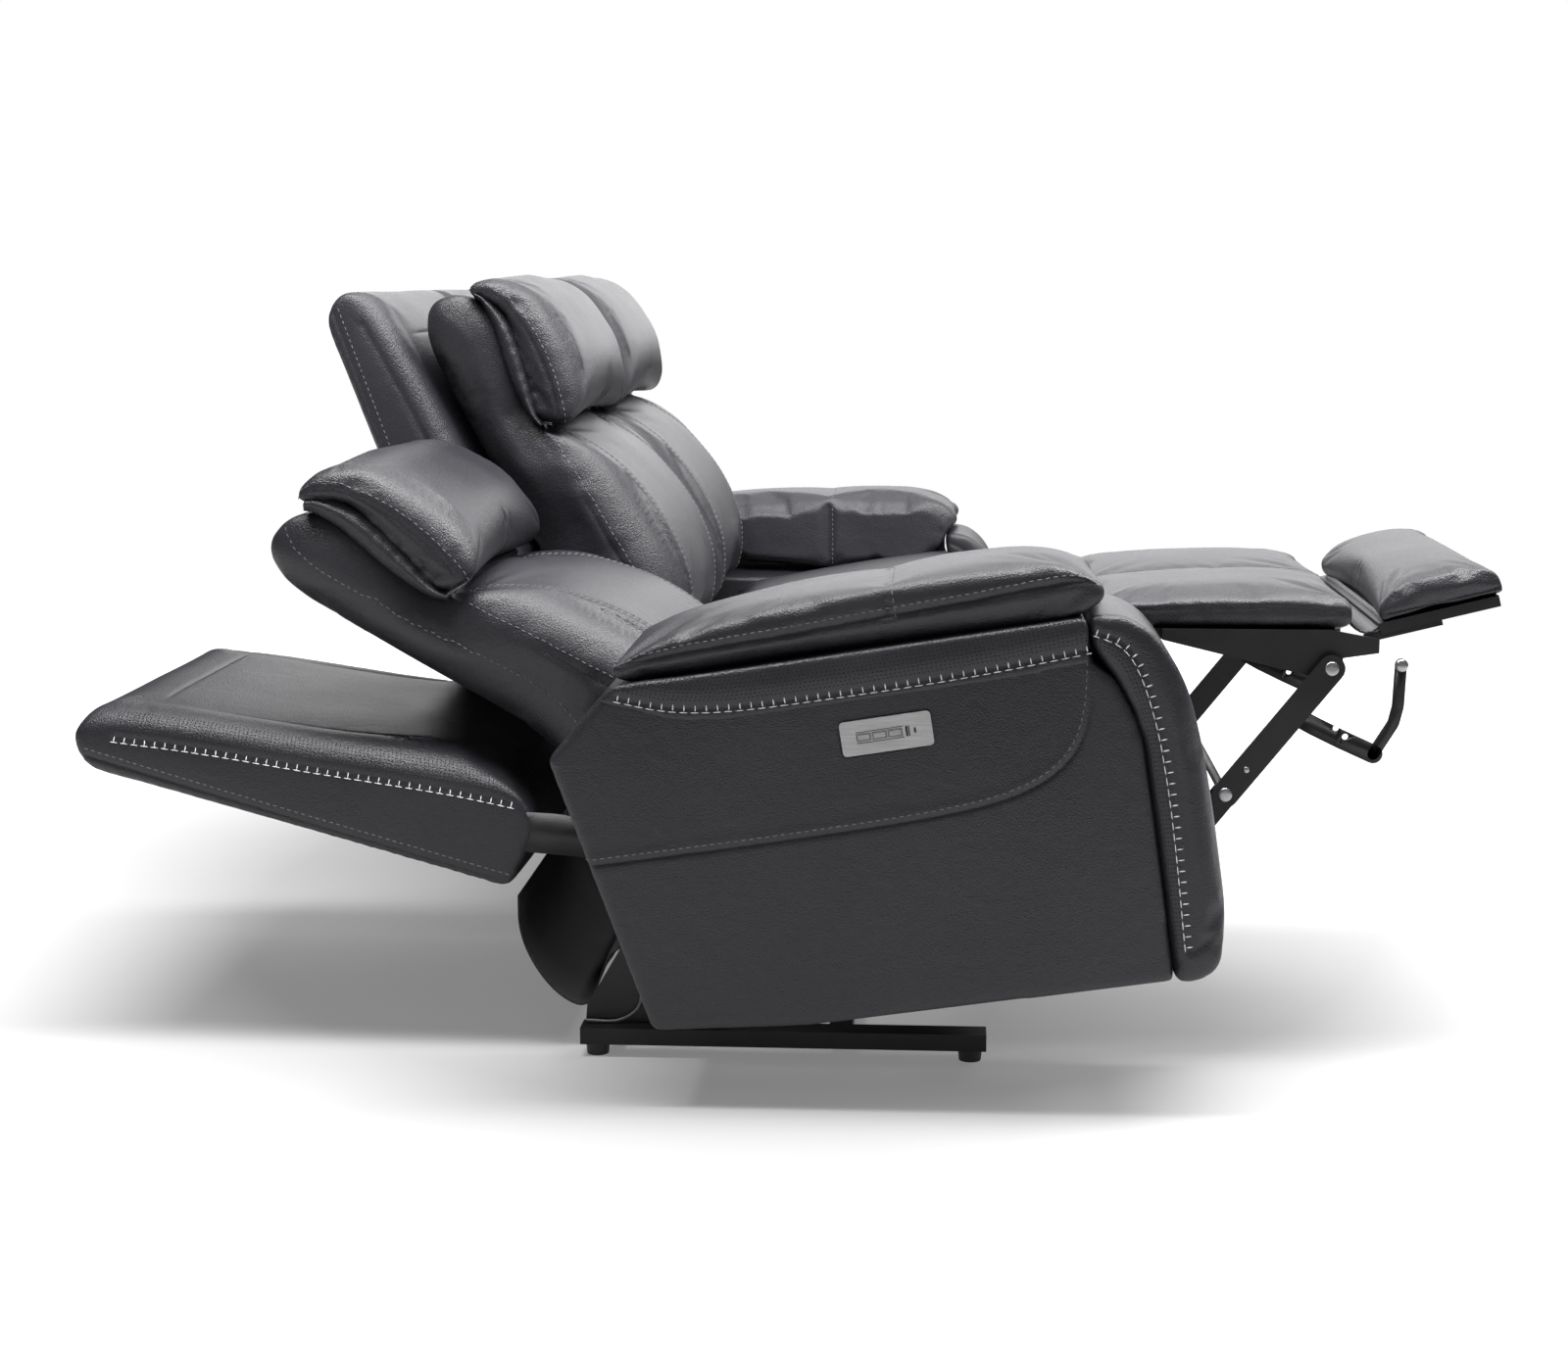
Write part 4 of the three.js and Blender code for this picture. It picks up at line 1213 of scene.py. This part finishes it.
# %% Small hardware
def disc(x, z, v, radius, depth, sides=20):
    """A domed rivet head that faces outward, away from the seat, or inward where its depth is negative."""
    rings = [(1.0, 0.0), (1.0, 0.55), (0.82, 0.82), (0.5, 0.96)]
    points = [place(x + radius * r * math.cos(a), z + radius * r * math.sin(a), v - depth * h)
              for r, h in rings for a in np.linspace(0, 2 * math.pi, sides, endpoint=False)]
    faces = [tuple(range(sides))]
    for k in range(len(rings) - 1):
        faces += [(k * sides + i, k * sides + (i + 1) % sides, (k + 1) * sides + (i + 1) % sides,
                   (k + 1) * sides + i) for i in range(sides)]
    faces.append(tuple(reversed(range((len(rings) - 1) * sides, len(rings) * sides))))
    mesh = outward(mesh_from("rivet", points, faces))
    mesh.materials.append(ZINC)
    return mesh


PLANES = [SEAT_V0 - 2 + 6 * n for n in range(4)]
CLOSED_LINE = math.radians(-57.8)
PIVOT = [JOINTS["left_lower_link"]["pos_m"][k] for k in (0, 2)]
ELBOW = [JOINTS["left_upper_link"]["pos_m"][k] for k in (0, 2)]
LOWER = ((PIVOT[0] - ORIGIN_X) / MM, PIVOT[1] / MM)
UPPER = ((ELBOW[0] - ORIGIN_X) / MM, ELBOW[1] / MM)
FAR_END = (UPPER[0] + 209 * math.cos(CLOSED_LINE), UPPER[1] + 209 * math.sin(CLOSED_LINE))
print("links from", [round(v) for v in LOWER], "by", [round(v) for v in UPPER])


def both_faces(spot, plane, radius, depth=1.6):
    """A rivet on the outward face of the same link on both sides of the seat."""
    outer = PLANES[plane]
    return [disc(*spot, outer, radius, depth), disc(*spot, SEAT_V0 + SEAT_V1 - outer, radius, -depth)]


def between(a, b, share):
    return (a[0] + (b[0] - a[0]) * share, a[1] + (b[1] - a[1]) * share)


lower_rivets = both_faces(LOWER, 2, 8) + both_faces(between(LOWER, UPPER, 0.8), 2, 5, 1.2)
upper_rivets = both_faces(UPPER, 1, 9) + both_faces(FAR_END, 1, 9)
upper_rivets += both_faces(between(UPPER, FAR_END, 0.2), 1, 4)
stand("lower_link_rivets", "lower_links", welded("r", lower_rivets), seats=BOTH)
stand("upper_link_rivets", "upper_links", welded("r", upper_rivets), seats=BOTH)


def bar(route, width, v, thickness, holes=(), hole_radius=4.0):
    """A flat steel link along a route, with rounded ends and round holes."""
    middle = evenly(np.array(route, float), 4.0)
    run = np.gradient(middle, axis=0)
    side = np.stack([-run[:, 1], run[:, 0]], 1)
    side /= np.linalg.norm(side, axis=1)[:, None]
    half = width / 2

    def cap(centre, towards):
        base = math.atan2(towards[1], towards[0])
        return [centre + half * np.array([math.cos(base + a), math.sin(base + a)])
                for a in np.linspace(math.pi / 2, -math.pi / 2, 9)]

    loop = list((middle + side * half)[1:-1]) + cap(middle[-1], run[-1])
    loop += list((middle - side * half)[1:-1][::-1]) + cap(middle[0], -run[0])
    mesh = block("bar", np.array(loop), v, v + thickness)
    if not holes:
        return mesh
    plate = add_object("holder", mesh)
    pins = []
    for x, z in holes:
        circle = [(x + hole_radius * math.cos(a), z + hole_radius * math.sin(a))
                  for a in np.linspace(0, 2 * math.pi, 20, endpoint=False)]
        pin = add_object("pin", block("pin", np.array(circle), v - 3, v + thickness + 3))
        cut = plate.modifiers.new("hole", "BOOLEAN")
        cut.operation, cut.object, cut.solver = "DIFFERENCE", pin, "EXACT"
        pins.append(pin)
    made = take_mesh(plate, "bar")
    for pin in pins:
        bpy.data.objects.remove(pin)
    return made


def both_sides(make):
    """The same link inside each side of the footrest."""
    return welded_flat("links", [make(CHAISE_V0 + 0.6), make(CHAISE_V1 - 4.2)])


# %% Guide links under the open footrest
LINK_TURN = (turn("seat_glide", GLIDE) @ turn("footrest", LIFT)).inverted()


def folded(x, z):
    """A point of the open footrest, in mm, as the closed drawing has it."""
    spot = LINK_TURN @ Vector((ORIGIN_X + x * MM, 0, z * MM))
    return (spot.x - ORIGIN_X) / MM, spot.z / MM


LINK_THICK = 3.4
knee = folded(752, 408)
guide = [folded(655, 455), folded(675, 444), folded(710, 427), knee]
bend = [knee, folded(776, 448), folded(781, 470), folded(783, 524)]
guide_holes = (folded(704, 441), folded(716, 430))
guides = both_sides(lambda v: bar(guide, 24, v, LINK_THICK, guide_holes))
stand("guide_links", "ottoman", guides, seats=BOTH)
bends = both_sides(lambda v: bar(bend, 15, v, LINK_THICK))
stand("bent_links", "ottoman", bends, seats=BOTH)
roller_x, roller_z = folded(783, 523)
rollers = [disc(roller_x, roller_z, v, 8.5, s * 7)
           for v, s in ((CHAISE_V0 + 0.4, 1), (CHAISE_V1 - 0.4, -1))]
stand("rollers", "ottoman", welded("r", rollers), seats=BOTH)


# %% Return spring under the small pad
def round_wire(name, points, radius, roundness):
    """A curve through the points with a round section, closed at both ends."""
    curve = bpy.data.curves.new(name, "CURVE")
    curve.dimensions = "3D"
    curve.bevel_depth = radius
    curve.bevel_resolution = roundness
    curve.use_fill_caps = True
    spline = curve.splines.new("POLY")
    spline.points.add(len(points) - 1)
    for target, p in zip(spline.points, points):
        target.co = (*p, 1)
    return curve


def coil(x0, x1, z, v, radius, wire, turns):
    points = []
    count = turns * 12
    for i in range(count + 1):
        a = 2 * math.pi * i / 12
        points.append(place(x0 + (x1 - x0) * i / count, z + radius * math.cos(a), v + radius * math.sin(a)))
    mesh = take_mesh(add_object("holder", round_wire("coil", points, wire * MM, 1)), "coil")
    mesh.transform(FOLD)
    mesh.materials.clear()
    mesh.materials.append(ZINC)
    return mesh


springs = [coil(262, 330, 70, v, 4.0, 0.8, 16) for v in (FLIP_V0 + 22, FLIP_V1 - 22)]
stand("springs", "flip", welded("springs", springs), seats=BOTH)
print("small hardware made")


# %% Control plate: printed rails round the buttons, a charging socket and a small lamp window
def plate_box(x0, x1, z0, z1, v, thick, corner=0.5):
    loop = loop_of([(x0, z0, corner), (x1, z0, corner), (x1, z1, corner), (x0, z1, corner)], step=0.6)
    return block("box", loop, v - thick, v)


def outline_of(x0, x1, z0, z1, v, wide=1.0):
    """A thin printed frame."""
    return [plate_box(x0, x1, z1 - wide, z1, v, 0.12), plate_box(x0, x1, z0, z0 + wide, v, 0.12),
            plate_box(x0, x0 + wide, z0 + wide, z1 - wide, v, 0.12),
            plate_box(x1 - wide, x1, z0 + wide, z1 - wide, v, 0.12)]


def plate_marks():
    low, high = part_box("left_switch_plate")
    face = (-OUTER_Y - high.y) / MM
    middle = (low.z + high.z) / 2 / MM
    start = (low.x - ORIGIN_X) / MM
    parts = [plate_box(start + 18.5, start + 76, middle + 6.2, middle + 7.1, face, 0.12),
             plate_box(start + 18.5, start + 76, middle - 7.1, middle - 6.2, face, 0.12),
             plate_box(start + 78, start + 80.8, middle - 6.3, middle + 6.3, face, 0.14, 0.5),
             plate_box(start + 81.6, start + 83, middle - 6.3, middle + 6.3, face, 0.14, 0.5),
             plate_box(start + 88, start + 90.6, middle - 3.4, middle + 3.4, face, 0.14, 1.2)]
    for part in parts:
        part.materials.append(PLASTIC)
    return welded("marks", parts)


stand("plate_marks", "carriage", plate_marks(), seats=BOTH)


def button_mark(side, n):
    """A printed square outline on one button, which moves with it."""
    low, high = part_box(f"left_button_{n}")
    face = (-OUTER_Y - high.y) / MM
    x0, x1 = (low.x - ORIGIN_X) / MM, (high.x - ORIGIN_X) / MM
    z0, z1 = low.z / MM, high.z / MM
    parts = outline_of(x0 + 0.5, x1 - 0.5, z0 + 0.5, z1 - 0.5, face, 0.8)
    for part in parts:
        part.materials.append(PLASTIC)
    mesh = welded("mark", parts)
    mesh.transform(carriage_turn if side == "right" else MIRROR)
    if side == "left":
        mesh.flip_normals()
    made = add_object(f"{side}_button_mark_{n}", mesh)
    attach(made, f"{side}_button_{n}")


for side_name in BOTH:
    for number in (1, 2, 3):
        button_mark(side_name, number)

# %% [markdown]
# One thin grey lead drops from the motor and runs back along the base's rear bracket, where it goes in again.


# %% Motor lead
LEAD_DIAMETER = 0.004
LEAD = [(-200, 150), (-188, 100), (-190, 62), (-216, 43.4), (-260, 42.4)]


def motor_lead():
    low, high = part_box("right_motor_lead")
    v = ((low.y + high.y) / 2 - OUTER_Y) / MM
    hull = np.array([place(x, z, v) for x, z in LEAD])
    path = evenly(rounded_route(hull), 0.0085)
    curve = round_wire("right_motor_lead_wire", path, LEAD_DIAMETER / 2, 3)
    curve.materials.append(WIRE)
    made = add_object("right_motor_lead_wire", curve)
    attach(made, "base")
    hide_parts("right_motor_lead")


def rounded_route(hull, steps=12):
    """A smooth curve through its points, centripetal as the frame's own is."""
    ends_added = np.concatenate([[2 * hull[0] - hull[1]], hull, [2 * hull[-1] - hull[-2]]])
    out = []
    for k in range(len(hull) - 1):
        p = ends_added[k:k + 4]
        t = np.concatenate([[0], np.cumsum(np.linalg.norm(np.diff(p, axis=0), axis=1) ** 0.5)])
        for u in np.linspace(t[1], t[2], steps, endpoint=k == len(hull) - 2):
            a = [(t[i + 1] - u) / (t[i + 1] - t[i]) * p[i] + (u - t[i]) / (t[i + 1] - t[i]) * p[i + 1]
                 for i in range(3)]
            b = [(t[i + 2] - u) / (t[i + 2] - t[i]) * a[i] + (u - t[i]) / (t[i + 2] - t[i]) * a[i + 1]
                 for i in range(2)]
            out.append((t[2] - u) / (t[2] - t[1]) * b[0] + (u - t[1]) / (t[2] - t[1]) * b[1])
    return np.array(out)


def grey_wire():
    f = Finish("grey_wire")
    scuff = f.node("ShaderNodeTexNoise", Vector=f.where(), Scale=160.0, Detail=3.0)
    colour = f.ramp(scuff, (0.3, (0.09, 0.09, 0.095)), (0.7, (0.14, 0.14, 0.145)))
    return f.done(Base_Color=colour, Roughness=scuff * 0.2 + 0.4)


WIRE = grey_wire()
motor_lead()

# %% [markdown]
# The frame's own steel, plastic and metal parts keep their shapes. Only their finishes change here.


# %% Finish the frame's own parts
def dress():
    for name, item in frame["nodes"].items():
        part = name.split("_", 1)[1]
        finish = STEEL
        if part.startswith("button"):
            finish = BUTTON_METAL
        elif part == "switch_plate":
            finish = SILVER
        elif part.startswith("foot") or part == "motor":
            finish = PLASTIC
        for place_in in item.material_slots:
            place_in.material = finish


dress()

# %% [markdown]
# The sofa stands on a pale studio floor. The floor's own emission paints a soft shadow under the sofa and light to
# white further out.
# A wide soft light hangs over the sofa and another stands behind, so that leather tops shine and sides stay dark.
# The camera stands off the right-hand arm, a little above it.


# %% Floor
FLOOR_RADIUS = 3.4


def studio_floor():
    """A pale disc whose emission is painted light and shadow: dim under the sofa, and glowing to white further
    out, where it meets the background.
    """
    corners = np.linspace(0, 2 * math.pi, 64, endpoint=False)
    points = [(FLOOR_RADIUS * math.cos(a), FLOOR_RADIUS * math.sin(a), -0.0005) for a in corners]
    mesh = mesh_from("studio_floor", points, [tuple(range(len(points)))])
    f = Finish("pale_floor_painted_light")
    mottle = f.node("ShaderNodeTexNoise", Vector=f.where(), Scale=2.0, Detail=2.0)
    pale = f.ramp(mottle, (0.3, (0.35, 0.35, 0.352)), (0.7, (0.37, 0.37, 0.372)))
    # Painted shadow and painted light: the emission is weak under the sofa and grows to white further out, a shade
    # and a glow that no lamp casts.
    middle = f.node("ShaderNodeTexGradient", {"gradient_type": "SPHERICAL"},
                    Vector=f.node("ShaderNodeMapping", Vector=f.where(), Scale=(0.42, 0.36, 0.4)))
    painted_floor_light = f.ramp(middle, (0.2, (1.0, 1.0, 1.0)), (0.62, (0.2, 0.2, 0.2)))
    mesh.materials.append(f.done(Base_Color=pale, Roughness=mottle * 0.1 + 0.8,
                                 Emission_Color=painted_floor_light, Emission_Strength=1.0))
    return add_object("studio_floor", mesh)


studio_floor()


# %% Lights
def soft_light(name, place_at, aim, size, power):
    lamp = bpy.data.lights.new(name, "AREA")
    lamp.shape = "RECTANGLE"
    lamp.size, lamp.size_y = size
    lamp.energy = power
    made = bpy.data.objects.new(name, lamp)
    made.location = place_at
    made.rotation_euler = (Vector(aim) - Vector(place_at)).to_track_quat("-Z", "Y").to_euler()
    made.visible_camera = False
    bpy.context.scene.collection.objects.link(made)


soft_light("over", (0.2, 0.7, 3.3), (0, 0.1, 0.4), (3.6, 3.0), 100)
soft_light("back", (0.4, 3.6, 1.9), (0, 0, 0.6), (4.6, 1.8), 60)
soft_light("fill", (0.3, -1.05, 2.6), (0, 0.7, 0.5), (3.6, 0.6), 190)
soft_light("near", (0.2, -3.6, 3.6), (0, -1.4, 0), (4.0, 1.0), 6)
soft_light("front", (2.4, 0.2, 2.9), (0, 0.3, 0.7), (1.0, 2.2), 80)


def studio_air():
    """White where it is seen, dim where it lights, so that the sofa's sides stay dark."""
    world = bpy.data.worlds.new("studio")
    world.use_nodes = True
    nodes, links = world.node_tree.nodes, world.node_tree.links
    seen, mix = nodes.new("ShaderNodeLightPath"), nodes.new("ShaderNodeMapRange")
    mix.inputs["To Min"].default_value = 0.12
    mix.inputs["To Max"].default_value = 1.0
    links.new(seen.outputs["Is Camera Ray"], mix.inputs["Value"])
    links.new(mix.outputs[0], nodes["Background"].inputs["Strength"])
    nodes["Background"].inputs["Color"].default_value = (1, 1, 1, 1)
    bpy.context.scene.world = world


studio_air()
bpy.context.scene.view_settings.view_transform = "Standard"

# %% Camera
lens = bpy.data.cameras.new("camera")
lens.lens = 58.2
lens.sensor_width = 36.0
camera = bpy.data.objects.new("camera", lens)
camera.location = (ORIGIN_X + 0.203, -4.0665, 1.009)
camera.rotation_euler = (math.radians(90 - 8.91), 0, math.radians(3.61))
bpy.context.scene.collection.objects.link(camera)
bpy.context.scene.camera = camera

# %% Count the pieces
print(len(COUNT), "pieces,", sum(COUNT), "faces in the sewn parts")
